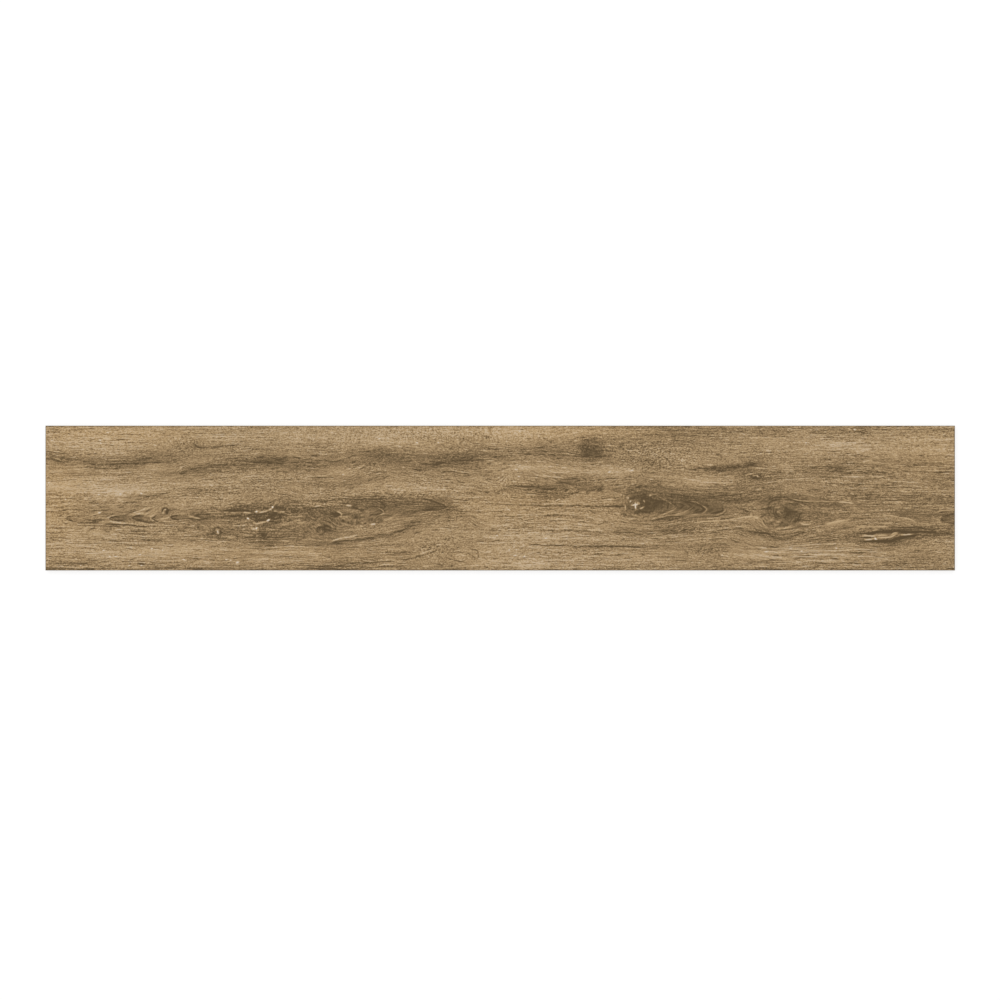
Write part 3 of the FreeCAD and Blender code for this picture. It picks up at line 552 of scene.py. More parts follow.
    (-14, 745, 36, 749, 37.6, 750, 39.2), (-12, 752, 39, 754, 38.6), (-16, 650, 43, 658, 42.8),
    (-12, 658, 43.6, 665, 43.4), (-18, 666, 43, 672, 43.4), (-20, 672, 45.6, 678, 45.4),
    (-16, 668, 41, 671, 41.4), (-18, 680, 43, 685, 42), (-14, 688, 43, 692, 42.4), (-22, 692, 41, 697, 41),
    (-18, 698, 41.6, 703, 41.4), (-14, 704, 41, 710, 40), (-12, 708, 42, 712, 41.6),
    (-12, 703, 38.4, 712, 38), (14, 660, 39.6, 672, 39.2), (12, 720, 51.4, 726, 51.6),
    (-14, 716, 57.6, 720, 58.4), (-12, 716, 62.4, 720, 62.8), (-12, 693, 55.4, 700, 56.4),
    (-14, 692, 59, 694, 60), (-14, 692, 66, 698, 65.6), (14, 694, 67.4, 698, 67), (-16, 678, 63.6, 682, 63.4),
    (-14, 672, 70.4, 680, 70.6), (-12, 665, 72, 670, 71.4), (-12, 724, 70, 726, 71), (-12, 748, 69, 752, 70),
    (-14, 741, 72, 745, 73, 748, 74), (-14, 731, 46, 738, 47), (-16, 733, 47.8, 741, 48),
    (-12, 742, 48.6, 748, 49), (-12, 750, 47, 755, 46.6), (-20, 759, 47.4, 763, 47),
    (-14, 760, 40, 768, 41.6), (-12, 765, 43.4, 772, 43), (-14, 772, 44, 780, 43.6),
    (-12, 774, 52.6, 780, 52.2), (-12, 768, 57.4, 771, 57.6), (12, 727, 41, 731, 41.6),
    (12, 720, 25, 724, 24.8), (14, 712, 29, 717, 28.6),
    # round knot and under it
    (-16, 674, 93.6, 682, 93.2, 690, 92.4), (-18, 676, 81.6, 678.4, 84, 676.4, 86, 672, 87.6, 666, 88.6),
    (-14, 681.6, 86.4, 678, 89, 673, 90.8, 667, 92), (14, 611, 70.4, 616, 73, 621, 76, 628, 79.4),
    (-20, 623.6, 78, 623, 81, 622.4, 84), (-14, 645, 83, 641, 85, 636, 87),
    (16, 646, 76.4, 651, 77, 655, 78.8), (16, 699, 101.6, 707, 104), (14, 683, 106.4, 688, 106.4),
    (-12, 696, 105, 704, 106.4, 712, 106.8), (-14, 650, 104.6, 662, 104.2), (-14, 697, 84, 703, 86.6),
    (12, 704, 87, 706, 88.6, 703, 90.4), (-14, 724, 74, 732, 72, 741, 71, 746, 74, 752, 76.5, 757, 79),
    (-14, 722, 80, 727, 76, 735, 75), (-14, 755.6, 88, 754.4, 91.6, 752, 95.4),
    (-16, 729.4, 82.6, 728.4, 86, 729.6, 90.6, 733, 94.6), (-14, 731, 85, 731.4, 88, 733, 91, 735, 92),
    (-16, 724, 80, 722.6, 83, 721.6, 86), (22, 731, 82.8, 736, 82), (18, 731.6, 86, 734, 87.4, 736.6, 90),
    (14, 729, 104, 740, 103.4, 745, 102), (-12, 728, 101.4, 738, 101, 746, 99.6), (16, 720, 101.6, 722, 103),
    (-14, 736, 97, 738, 97.6), (-14, 725, 99, 729, 100), (-16, 708, 107.6, 716, 108, 722, 108.4),
    (-22, 722, 108.6, 726, 110.6), (-18, 726, 111, 731, 114), (-14, 745, 112, 750, 110.4, 758, 108),
    (-18, 757, 107.4, 760, 108.4), (-12, 755, 101.6, 760, 102, 766, 100.6), (-14, 764, 81, 766, 83),
    (-18, 724, 121.6, 733, 122.4), (12, 710, 121, 718, 123, 725, 124), (-14, 728, 130.6, 735, 130.2),
    (-12, 735, 130.4, 745, 130.8), (-20, 752, 130.4, 760, 130.6), (-14, 760, 130.8, 767, 130.4),
    (12, 720, 131, 726, 133.4), (12, 728, 132.6, 740, 132), (-12, 745, 133.6, 762, 133.4),
    (-14, 723, 134, 731, 135.6), (14, 752, 134.4, 763, 134.8), (12, 748, 137.4, 756, 137.8),
    (-16, 770, 141.2, 774, 141.6), (-14, 664, 126, 666, 128), (-16, 671, 127, 674, 126),
    (-12, 659, 129.6, 663, 128), (-16, 673, 131, 676, 132), (14, 676, 130, 680, 132.4),
    (14, 681, 131, 685, 132.6), (12, 687, 133, 692, 132.4), (-12, 700, 124, 707, 123.6),
    (-18, 668, 140, 671, 141, 672, 142.4), (-22, 683, 140.4, 686, 140), (-12, 690, 138, 694, 138.6),
    (-18, 704, 137.6, 708, 138.2), (14, 680, 135.4, 683, 136),
    # right end, upper half
    (-12, 795, 5.6, 800, 6), (-18, 810, 6.6, 817, 6.8), (-14, 817, 6.8, 823, 6.4), (-14, 836, 4.6, 842, 4.8),
    (12, 790, 17.6, 807, 17.6), (-14, 811, 19.6, 820, 20), (-16, 821, 17.2, 824, 18), (-12, 853, 13, 855, 15),
    (-14, 842, 20, 846, 20.8), (-12, 866, 19.4, 869, 20.4), (-14, 869, 20.6, 880, 20.8),
    (-14, 842, 25, 846, 25.4), (-14, 862, 24.4, 866, 24.2), (-14, 856, 28, 860, 29, 861, 30),
    (-18, 887, 22, 888, 23), (14, 780, 24, 800, 24.6), (14, 810, 26.4, 820, 26), (12, 815, 24.4, 826, 24),
    (14, 802, 29.4, 807, 30), (12, 840, 26.4, 847, 28), (14, 850, 32, 853, 33), (-14, 786, 26.8, 792, 26.4),
    (-18, 801, 28.8, 806, 28), (-14, 811, 29.4, 817, 28.8), (-14, 816, 31, 818, 30),
    (-16, 810, 32, 812, 32.6), (-12, 801, 32.4, 804, 31.6), (-12, 792, 31, 800, 30.4),
    (-14, 780, 34.6, 786, 34.4), (-12, 828, 29, 834, 29.4), (-12, 828, 34.6, 829.6, 35.6),
    (-18, 875, 30.4, 879, 30.4), (-12, 881, 31.6, 884, 30.6), (-12, 893, 29.8, 901, 29.2),
    (-14, 863, 35, 867, 37), (-14, 792, 38.4, 801, 38), (-20, 801, 38, 804, 38.6),
    (-16, 804, 38.2, 810, 38.4), (14, 802, 37.4, 810, 37), (14, 815, 36, 827, 35.4),
    (-22, 831, 40.2, 833, 40.8), (-18, 860, 40.4, 866, 41.2), (-18, 868, 39.6, 872, 40.6),
    (-14, 880, 38, 884, 39.4), (-14, 884, 39.6, 890, 39.4), (-14, 780, 40.2, 786, 40),
    (-16, 786, 43.4, 793, 42.4), (-18, 780, 44.4, 786, 44), (-16, 780, 46, 784, 45.6),
    (-16, 786, 46.6, 789, 47), (-16, 789, 45.4, 793, 46.6), (-18, 794, 46.8, 798, 46.6),
    (-12, 810, 42, 816, 41.4), (-18, 813, 46, 818, 46.4), (-16, 818, 47, 823, 48), (-12, 800, 48, 808, 47.4),
    (-16, 826, 42, 830, 43.6), (-18, 830, 47.6, 843, 47.4), (-14, 845, 48, 850, 48.6),
    (12, 784, 49.6, 791, 49.2), (16, 797, 51.6, 820, 51.8), (16, 828, 51.6, 842, 51.4),
    (-14, 780, 52.6, 786, 52.8), (14, 840, 53.8, 846, 53.4), (-16, 813, 55.4, 820, 55.2),
    (-14, 820, 55.2, 827, 54.8), (-14, 827, 55, 829, 56.8), (-12, 829, 53.4, 835, 54),
    (-12, 845, 58.6, 854, 58.4), (-12, 828, 63, 833, 62.6), (-12, 840, 62.8, 867, 62.4),
    (14, 853, 60.6, 858, 60), (-14, 807, 65, 811, 65.6), (-14, 812, 65.6, 816, 65.8),
    (14, 855, 66.6, 868, 66.2), (-14, 801, 70.4, 812, 71), (-16, 820, 72, 828, 71.6),
    (-14, 828, 72, 840, 71.2), (-20, 900, 70.4, 906, 71), (-16, 904, 71.4, 906, 72),
    (-18, 889, 47.4, 900, 47.6), (-14, 900, 47.2, 908, 47), (-14, 899, 44, 908, 43.6),
    (-18, 876, 54.2, 880, 54.6), (-14, 880, 54.4, 890, 54.6), (-16, 898, 54.4, 910, 54.6),
    (14, 889, 61.6, 894, 61.8), (14, 861, 52, 866, 52),
    # right end, lower half
    (12, 853, 78, 857, 77.4), (12, 859, 83.6, 865, 83.2), (12, 793, 85, 797, 85.6),
    (-12, 869, 125.6, 875, 125.4), (-14, 868, 132, 872, 131.4), (-14, 887, 137, 889, 137.6),
    (14, 890, 126, 894, 127.4), (-12, 897, 126, 902, 126.6), (-16, 845, 133.8, 852, 133.6),
    (-14, 852, 133.4, 858, 133.6), (-18, 838, 139.8, 844, 139.4), (-20, 844, 140.6, 848, 140.2),
    (-12, 848, 140, 855, 139.4), (-14, 853, 140, 861, 138.6), (14, 836, 141.6, 843, 142),
    (12, 783, 135, 800, 134.6), (-12, 795, 144.4, 815, 144.2), (-12, 892, 88.4, 898, 86, 904, 85.8),
    (-12, 905, 90, 910, 89.4),
]

# Points of nested growth rings: tip along, tip down, +1 opens to the right, reach, half height, slope,
# then the grey levels of the fill, the rim and the pale edge
ringTips = [
    (64, 93.6, 1, 20, 3.4, 0.0, 0, -6, 16),
    (87, 92.8, 1, 14, 3.2, 0.0, 0, -6, 16),
    (106.6, 92.6, 1, 8, 3.2, 0.05, 0, 0, 20),
    (125, 92.2, 1, 20, 3.0, 0.0, 0, 0, 14),
    (401, 82, -1, 24, 6.0, -0.10, -16, -18, 12),
    (339.5, 86, -1, 16, 5.5, -0.05, -14, -12, 0),
    (320, 87, -1, 14, 4.0, -0.05, -8, -12, 0),
    (295, 89.8, -1, 10, 2.8, -0.1, -10, 0, 0),
    (639, 81, -1, 8, 3.0, 0.0, -14, -10, 0),
    (660, 84, -1, 22, 6.0, -0.08, -12, 0, 0),
    (680, 85.5, -1, 16, 5.5, -0.05, -8, 0, 0),
    (705, 88.5, -1, 14, 4.5, -0.15, -6, -8, 0),
    (896, 94, 1, 16, 5.5, 0.0, -16, -10, 0),
]

# Ringed knots: along, down, radius along, radius across, rings, ring tone, core tone
ringedKnots = [
    (276.5, 105.5, 3.4, 3.2, 1, 22, -6),
    (172.5, 106.5, 3.6, 4, 1, 22, 8),
    (711, 51.2, 5.2, 2.3, 1, 22, 6),
]

# Patches with a clear outline: grey, cover, then along and down of each corner in turn
inkShapes = [
    # cathedral
    (122, 0.5, 21, 93.5, 28, 92, 46, 92.5, 62, 94.5, 58, 97, 45, 97.5, 33, 97, 24, 95.5),
    (103, 0.85, 64, 94, 69, 91.5, 75, 91, 81, 92, 80, 94, 76, 95.5, 68, 95),
    (103, 0.85, 87, 92.5, 90, 91, 97, 90.5, 99, 92.5, 97, 95.5, 92, 95, 88, 94),
    (100, 0.85, 124.5, 92, 127, 90.5, 135, 90, 143, 90.5, 140, 93, 133, 94.5, 127, 94),
    (104, 0.6, 148, 90, 165, 89.5, 185, 89.5, 200, 90, 203, 92, 198, 96, 185, 96, 172, 94.5, 160, 92.5),
    (97, 0.7, 178, 86, 186, 84.3, 200, 83, 212, 82, 222, 83.5, 226, 84, 214, 86, 200, 86.6),
    (92, 0.85, 203, 91, 210, 89.6, 222, 87.8, 228, 87, 233, 88.4, 231, 91, 226, 93.6, 221, 95, 214, 96,
     208, 94),
    (78, 0.9, 224.6, 87, 228, 84.6, 230, 87.6, 233.4, 89, 229.6, 91.4, 226, 93.4, 222, 93, 225.4, 90),
    (82, 0.85, 228, 82, 232, 80.6, 238, 81.4, 240, 84.6, 234, 85.6, 228, 85),
    (92, 0.6, 200, 88.8, 208, 89, 205, 92, 200, 91.5),
    (80, 0.8, 216.6, 107.6, 219, 106.2, 222.4, 107.6, 221.6, 110, 218, 109.8),
    (104, 0.5, 214, 116, 222, 113, 229, 115, 226, 120, 218, 120),
    (108, 0.6, 340, 76, 360, 74.4, 383, 73.5, 393, 76.5, 400, 80, 400.5, 82.5, 396, 84, 378, 86, 345, 86.5,
     341, 82),
    (96, 0.6, 380, 76, 392, 77.5, 399.6, 81, 399, 83.2, 388, 84, 379, 85.6),
    (108, 0.5, 262, 84, 285, 84.5, 290, 87, 285, 91, 270, 90, 258, 87.5),
    (88, 0.8, 286, 87.2, 290, 87.4, 294, 88.6, 295.4, 89.6, 294, 91.4, 290, 91.4, 286.4, 90),
    (96, 0.6, 284, 118.6, 288, 116.4, 297, 116, 305, 114.6, 298, 117.5, 292, 119.6),
    # dark spot
    (84, 0.85, 540, 27, 546, 24.4, 552, 25.4, 556, 29, 556, 31.4, 546, 31.8, 541, 30.4),
    (103, 0.6, 541, 18, 546, 15, 552, 17, 555, 22, 552, 26, 545, 25.4, 541, 22),
    # flame
    (106, 0.6, 470, 61, 478, 60, 490, 60.5, 497, 62.4, 512, 61, 513, 66, 505, 65.4, 495, 65, 485, 63,
     475, 62.6),
    (108, 0.5, 506, 60, 514, 56, 526, 56.4, 532, 60, 524, 65, 516, 69, 511, 74, 506, 71),
    (108, 0.5, 531, 62, 545, 60.5, 556, 60, 565, 62, 560, 67, 552, 66, 544, 66, 536, 66.5),
    # dark knot
    (95, 0.8, 580, 83, 582, 76, 585, 71, 592, 69, 598, 71, 597, 76, 592, 78, 588, 81, 589, 86, 584, 86),
    (79, 0.95, 593, 80, 597, 77, 599, 73, 603, 72, 606, 75, 610, 77, 617, 78, 618, 81, 612, 83, 608, 87,
     600, 88, 590, 89, 588, 86, 594, 84.5, 598, 84, 597, 81.5),
    (92, 0.8, 640, 77, 648, 77, 654, 79, 659.5, 83, 659, 86, 654, 87.6, 648, 88, 651, 85, 651, 82, 645, 79.4),
    (94, 0.7, 630, 83, 633, 79, 638, 79.4, 639, 81.6, 635, 84),
    (106, 0.6, 660, 87, 664, 82, 670, 80.4, 677, 82, 678.6, 85, 675, 87.4, 668, 88.6, 662, 88.2),
    # round knot
    (100, 0.8, 740, 82, 742, 78.4, 748, 79.6, 753, 84, 755.6, 88.4, 753.6, 94, 750, 96.6, 745, 97.2, 741, 95,
     740, 90),
    (79, 0.95, 739, 82.8, 742.6, 83, 747, 89, 746.4, 92.4, 743, 92, 741, 89, 739.4, 86),
    (156, 0.7, 724.6, 94, 727, 93.4, 728.4, 96, 726, 96.8),
    (152, 0.6, 730, 96, 735, 95.4, 735.6, 97, 731, 97.4),
    (158, 0.5, 780, 98.6, 784, 96.6, 798, 95, 805, 94, 794, 97, 789, 99, 785, 102, 784, 99.6),
    (150, 0.5, 757, 83, 762, 81.4, 768, 84.6, 762, 85.6),
    # open split
    (79, 0.95, 815, 115.4, 820, 117, 833, 118, 845, 118, 852, 116, 857, 114, 866, 112.6, 872, 110.4,
     868, 109.8, 856, 110.8, 851, 113, 845, 114.6, 834, 114.8, 826, 115.4),
    (98, 0.7, 811, 113, 819, 116, 822, 119, 816, 118.6),
    (83, 0.9, 810, 109, 826, 107.2, 835, 106.4, 848, 105.6, 862, 105.6, 875, 105.6, 893, 107, 893, 109.4,
     870, 109, 855, 108.4, 845, 108.2, 832, 109.4, 818, 109.6),
    (95, 0.75, 868, 104, 878, 103.6, 905, 106.4, 909, 109.4, 890, 110.4, 872, 110),
    (90, 0.85, 818, 112, 829, 111.4, 829, 112.8, 820, 113.6),
    (126, 0.75, 831, 110.4, 838, 109.4, 843, 110.4, 848, 108.4, 853, 107.6, 853, 109.6, 850, 111.6, 845, 113,
     838, 114, 833, 114),
    (106, 0.5, 852, 86.4, 862, 85.4, 884, 86, 893, 91, 887, 97, 874, 96.4, 864, 92.4, 855, 90),
    (100, 0.7, 896, 93, 900, 90, 912, 90, 912, 97.6, 900, 98, 896, 96),
]

# Open cracks and resin lines, printed in cream: half width, grey, cover, then points in the same way
creamCracks = [
    # cathedral
    (0.6, 165, 0.55, 160, 87.6, 170, 87.6, 178, 87.8), (0.7, 176, 0.75, 178, 87.4, 184, 87.2),
    (0.6, 168, 0.6, 184, 87.4, 196, 87.8), (0.7, 176, 0.75, 197, 87.6, 207, 88.2),
    (0.9, 212, 0.95, 209.6, 87, 213, 86.2), (0.7, 180, 0.8, 213, 87.4, 219, 86.6, 224, 85),
    (0.9, 190, 0.85, 224, 84.8, 227, 83.4), (1, 218, 0.95, 227, 83, 228, 81.2),
    (0.6, 172, 0.6, 228.4, 81, 231, 78, 232, 75.4), (0.6, 170, 0.75, 228.6, 86.4, 232, 86.2),
    (0.6, 170, 0.75, 233, 87, 240.5, 86.6), (0.8, 172, 0.8, 202, 79.4, 206, 78),
    (1.3, 222, 1, 202.4, 94.4, 203.4, 93.2), (1, 216, 1, 208.4, 103.8, 209.6, 103.2),
    (1, 216, 1, 211, 103.4, 212, 102.8), (0.8, 174, 0.6, 206.4, 103, 207.4, 105),
    (0.8, 174, 0.6, 210, 105.4, 213, 105.8), (0.8, 176, 0.75, 207, 97, 211, 98.6, 216, 98.4, 222, 96),
    (0.9, 200, 0.95, 221.5, 96, 225, 94.2), (0.9, 190, 0.9, 172, 104.6, 173.4, 109),
    (0.7, 165, 0.6, 170.5, 106, 171.5, 104), (1.1, 168, 0.7, 143.5, 91.2, 149, 91.4),
    (0.7, 170, 0.7, 148, 92.4, 156, 94), (0.7, 165, 0.6, 182, 113.4, 190, 112),
    (0.9, 200, 0.9, 191, 138.4, 194, 136.4), (0.6, 168, 0.6, 250, 92.4, 259, 91),
    (0.7, 165, 0.6, 235, 100, 244, 99), (0.7, 165, 0.6, 252, 98.4, 261, 97),
    (0.7, 174, 0.8, 291, 86.2, 295, 87.8, 296.8, 89.4, 295.6, 91.6), (0.7, 176, 0.8, 272, 80.4, 276, 80.2),
    (0.8, 180, 0.8, 300, 80.4, 307, 81), (0.8, 195, 0.9, 325, 99.6, 331, 99),
    (0.6, 174, 0.6, 338, 97, 344, 94, 350, 91.4), (0.7, 172, 0.6, 44, 90.8, 57, 87.6),
    (0.8, 205, 0.8, 52.5, 87.6, 56, 87.4), (0.7, 172, 0.7, 113, 94.4, 124, 93),
    (0.7, 168, 0.7, 105, 91.6, 109, 90.4), (0.8, 170, 0.8, 117.6, 89, 118.4, 86.5),
    (0.7, 185, 0.8, 119, 85.2, 121, 84.4),
    # dark knot
    (0.75, 208, 0.9, 590.2, 76.8, 590.6, 84.6), (0.75, 202, 0.85, 586.4, 80.8, 590.5, 79.8, 594.2, 78.8),
    (0.7, 186, 0.8, 593.2, 76.8, 594.4, 79), (0.7, 180, 0.8, 594.6, 83.6, 597, 82.6, 599, 81.4),
    (0.8, 186, 0.9, 583, 73.8, 583.6, 71.6), (0.7, 174, 0.7, 579, 72, 578.6, 70),
    (0.9, 196, 0.9, 585, 77, 585.8, 76), (0.8, 180, 0.8, 598.8, 75.6, 599.6, 76.6),
    (0.7, 175, 0.7, 580.2, 84.4, 580.4, 80), (0.9, 182, 0.8, 604.2, 70.8, 606.4, 70),
    (0.55, 170, 0.45, 656, 79.2, 658, 80.6, 660.6, 82.4, 662, 84.2, 661, 86, 658.6, 87.8, 655, 89.2),
    (0.5, 168, 0.5, 655, 89.2, 650, 89.4, 644, 90.2),
    (0.55, 168, 0.45, 678.6, 82.6, 680.4, 84, 680, 85.8, 677.6, 87.6, 674, 89, 669.6, 90.4),
    (0.6, 172, 0.6, 650, 97.4, 658, 97, 672, 95.8, 685, 95, 691, 93.6),
    (0.65, 176, 0.65, 691, 93.4, 699, 91.8, 705, 91.4, 710, 91.8, 716, 94),
    (0.6, 168, 0.5, 716, 94, 718, 98, 722.4, 102.6), (1, 195, 0.9, 708, 50.2, 709.4, 50.4),
    (0.9, 185, 0.85, 711.6, 50.4, 713.4, 51.4),
    # round knot
    (0.6, 150, 0.6, 729, 83, 735, 82), (1.1, 155, 0.6, 725, 95, 728, 95), (0.8, 155, 0.6, 731, 97, 735, 97),
    (0.8, 175, 0.8, 754, 98, 759, 99.8, 767, 99.2),
    (0.55, 164, 0.45, 741, 70.6, 745, 73, 753, 75.4, 766, 76, 782, 76.4, 792, 76.4),
    (0.7, 176, 0.75, 792, 76.4, 800, 77.2, 810, 78.6), (1.4, 162, 0.4, 780, 99.4, 788, 97.6, 798, 95.6),
    (0.7, 172, 0.7, 780, 98.5, 806, 94.4),
    (0.6, 172, 0.65, 836, 90.6, 846, 90.8, 856, 92.4, 863, 93.6, 868, 95.8, 871.6, 98),
    (0.6, 168, 0.6, 890, 87.8, 893, 87.4, 895, 86, 903, 85, 910, 84.2), (0.6, 168, 0.55, 896.4, 91, 895, 93),
    (0.9, 174, 0.6, 893.4, 95.6, 894.6, 95.2), (0.6, 166, 0.5, 890, 98, 893.4, 97, 897, 98.8, 904, 99.6),
    (1.1, 205, 0.9, 809, 4.2, 811, 5), (0.8, 175, 0.8, 803, 3.4, 806, 4.6),
    # open split
    (0.7, 178, 0.85, 816, 111, 824, 110.6, 832, 110.8), (0.8, 186, 0.9, 818.6, 114.8, 825, 114.2, 829, 113.4),
    (1, 214, 0.95, 829, 113.2, 831.6, 114.4),
    (0.7, 176, 0.8, 832, 112.8, 840, 112.8, 846, 112, 850, 110, 852.4, 108.4),
    (0.7, 184, 0.85, 853, 109.8, 858, 110, 868, 109.2), (0.7, 172, 0.7, 831, 111.4, 835, 110.6, 843, 110.2),
    (0.7, 168, 0.7, 808, 104.8, 815, 102.8, 823, 102, 834, 102.2, 844.6, 101),
    (0.6, 168, 0.7, 826.6, 105.2, 834, 105), (0.6, 168, 0.6, 809.6, 101.8, 822, 100.8),
    (0.7, 168, 0.7, 846, 109.6, 849, 108, 853, 107.6), (0.6, 168, 0.7, 838, 98.2, 848, 98.6),
]

# Pale specks left by the glaze spray: along, down
paleSpecks = [
    (62.5, 7.5), (6.5, 15.5), (55, 15.5), (55.5, 18.5), (110.5, 20.5), (4, 57.5), (20.5, 74.5), (54, 69.5),
    (75.5, 68.5), (96.5, 68.5), (86.5, 122.5), (107, 123.5), (58.5, 125.5), (118, 125.5), (65, 131.5),
    (70.5, 131.5), (95.5, 129.5), (35.5, 140.5), (84.5, 140.5), (96.5, 140.5), (138.5, 134.5), (181.5, 135),
    (186, 135.5), (334, 13.5), (372, 17.5), (393.5, 17.5), (298.5, 49.5), (471, 44.5), (474, 51.5),
    (463.5, 84.5), (469, 122.5), (464, 124.8), (471.5, 124.8), (470, 130.5), (480, 131.5), (501, 113.5),
    (452, 110.5), (474.5, 6.5), (564, 47.5), (587, 45.5), (746, 123.5), (757, 126.5), (721, 126.8),
    (791, 123), (761, 17.5), (123, 92.2),
]

# How the strokes and patches are drawn, in grid units and grey levels
drawing = {
    "growth": (0.85, 1.35),  # share of the half width above, gain on the grey levels
    "fine": (0.65, 2.1),  # half width and gain, as for the next three
    "rim": (0.8, 1.6),
    "paleEdge": (0.7, 1.6),
    "knotRing": (0.8, -1),
    "paleEdgeGap": 1.4,  # how far outside a tip its pale edge runs
    "tipFade": 1.6,  # how fast a tip's fill fades away from its point
    "legShares": (1.0, 0.65, 0.35, 0.15, 0.04),  # where a tip's outline has its points
    "knotSides": 14,
    "knotWobble": (0.10, 0.06),
    "knotTurn": 2.4,  # how far round the next ring of a knot starts
    "knotCore": 0.5,  # share of the radius
    "crackCover": 1.15,
    "cream": (194, 174, 0.7),  # paler cracks keep their grey; others move nearer to the second grey
    "speck": (0.55, 0.95, 206, 1.1),  # half width, cover, grey, half length
    "endFade": (5.0, 0.35, 0.2),  # length of a line's fading ends, or share of it, and strength at the tip
    "sideFade": (2.0, 0.8),  # where a line's strength is all gone, and over what width
    "lineReach": 3,
    "patchReach": 6,
    "farOff": 9.0,  # nothing shows this far from a line or an outline
    "sharpness": 4,  # of outlines
    "patchInset": 0.1,
    "tipInset": 0.3,
    "calming": (90, 0.5, 0.25),  # patches darker than this grey lose more of their grain than others
    "layers": {"growthLine": 5, "creamCrack": 2},
}


def pairs(course):
    return list(zip(course[0::2], course[1::2]))


def nearPath(p, q, points, reach):
    # rows and columns of the grid that a path can touch
    ends = np.array(points)
    lowest, highest = ends.min(0) - reach, ends.max(0) + reach
    columns = np.flatnonzero((p[0] >= lowest[0]) & (p[0] <= highest[0]))
    rows = np.flatnonzero((q[:, 0] >= lowest[1]) & (q[:, 0] <= highest[1]))
    if not len(columns) or not len(rows):
        return None
    return slice(rows[0], rows[-1] + 1), slice(columns[0], columns[-1] + 1)


def besidePath(p, q, points):
    # distance to a path, plus on one side and minus on the other, and how it fades towards its ends
    best = np.full_like(p, np.inf)
    offset = np.zeros_like(p)
    place = np.zeros_like(p)
    walked = 0.0
    for (p0, q0), (p1, q1) in zip(points, points[1:]):
        length = math.hypot(p1 - p0, q1 - q0)
        stepP, stepQ = (p1 - p0) / length, (q1 - q0) / length
        here = np.clip((p - p0) * stepP + (q - q0) * stepQ, 0, length)
        asideP, asideQ = p - p0 - here * stepP, q - q0 - here * stepQ
        away = np.hypot(asideP, asideQ)
        closer = away < best
        offset = np.where(closer, np.sign(stepP * asideQ - stepQ * asideP) * away, offset)
        place = np.where(closer, walked + here, place)
        best = np.minimum(best, away)
        walked += length
    most, share, strength = drawing["endFade"]
    return offset, np.clip(strength + np.minimum(place, walked - place) / min(most, share * walked), 0, 1)


def outside(depth):
    # 1 well inside an outline, and growing fast outside it
    most = drawing["farOff"]
    return 1 + np.exp(-drawing["sharpness"] * np.clip(depth, -most, most))


def inkCover(p, q, corners):
    # 1 inside a patch and 0 outside, over about a unit
    closed = list(corners) + [corners[0]]
    offset = np.abs(besidePath(p, q, closed)[0])
    inside = np.zeros(p.shape, bool)
    for (p0, q0), (p1, q1) in zip(closed, closed[1:]):
        if q0 != q1:
            crosses = (q0 > q) != (q1 > q)
            inside ^= crosses & (p < p0 + (q - q0) / (q1 - q0) * (p1 - p0))
    return 1 / outside(np.where(inside, offset, -offset) - drawing["patchInset"])


def traceLines(p, q, marks, layerCount):
    # thin lines are kept as an offset in half widths, a strength and a shade, so the shader draws them sharp;
    # neighbours go to different layers and don't run together
    empty = np.stack([np.full_like(p, drawing["farOff"]), np.zeros_like(p), np.zeros_like(p)], axis=-1)
    layers = [empty.copy() for _ in range(layerCount)]
    gone, over = drawing["sideFade"]
    for halfWidth, strength, shade, points in marks:
        patch = nearPath(p, q, points, drawing["lineReach"] + 1)
        if not patch:
            continue
        offset, hold = besidePath(p[patch], q[patch], points)
        hold = np.clip((gone - np.abs(offset)) / over, 0, 1) * hold
        reached = np.abs(offset) < drawing["lineReach"]
        layer = min(layers, key=lambda one: np.sum(reached & (np.abs(one[patch][..., 1]) > 0)))[patch]
        free = reached & (np.abs(offset) / halfWidth < np.abs(layer[..., 0]))
        for part, value in enumerate((offset / halfWidth, hold * strength, shade)):
            layer[..., part] = np.where(free, value, layer[..., part])
    return layers


def tipPath(tip, grow):
    # outline of a pointed ring, from the end of one leg round its tip to the other
    along, down, way, reach, half, slope = tip[:6]
    upper = []
    lower = []
    for share in drawing["legShares"]:
        here = along - way * grow + way * reach * share
        middle = down + slope * reach * share
        rise = (half + grow) * math.sqrt(share)
        upper.append((here, middle - rise))
        lower.append((here, middle + rise))
    return upper + [(along - way * grow, down)] + lower[::-1]


def ringPath(knot, share, turn):
    # a slightly wobbly ring round a knot
    along, down, radiusAlong, radiusAcross = knot[:4]
    sides = drawing["knotSides"]
    broad, narrow = drawing["knotWobble"]
    points = []
    for step in range(sides + 1):
        angle = turn + step * 2 * math.pi / sides
        wobble = share * (1 + broad * math.sin(3 * angle + 5 * share) + narrow * math.sin(5 * angle))
        across = radiusAcross * wobble * math.sin(angle)
        points.append((along + radiusAlong * wobble * math.cos(angle), down + across))
    return points


def listLines():
    # every dark or light thin line of the figure: half width, strength, shade, path
    lines = []

    def add(kind, levels, points, share=1):
        halfWidth, gain = drawing[kind]
        lines.append((halfWidth * share, gain * levels / 255, 0, points))

    for halfWidth, levels, *course in growthLines:
        add("growth", levels, pairs(course), halfWidth)
    for levels, *course in fineLines:
        add("fine", levels, pairs(course))
    for tip in ringTips:
        rim, paleEdge = tip[7:]
        if rim:
            add("rim", rim, tipPath(tip, 0.0))
        if paleEdge:
            add("paleEdge", paleEdge, tipPath(tip, drawing["paleEdgeGap"]))
    for knot in ringedKnots:
        rings, levels = knot[4:6]
        for ring in range(1, rings + 1):
            add("knotRing", levels, ringPath(knot, ring / rings, drawing["knotTurn"] * ring))
    return lines


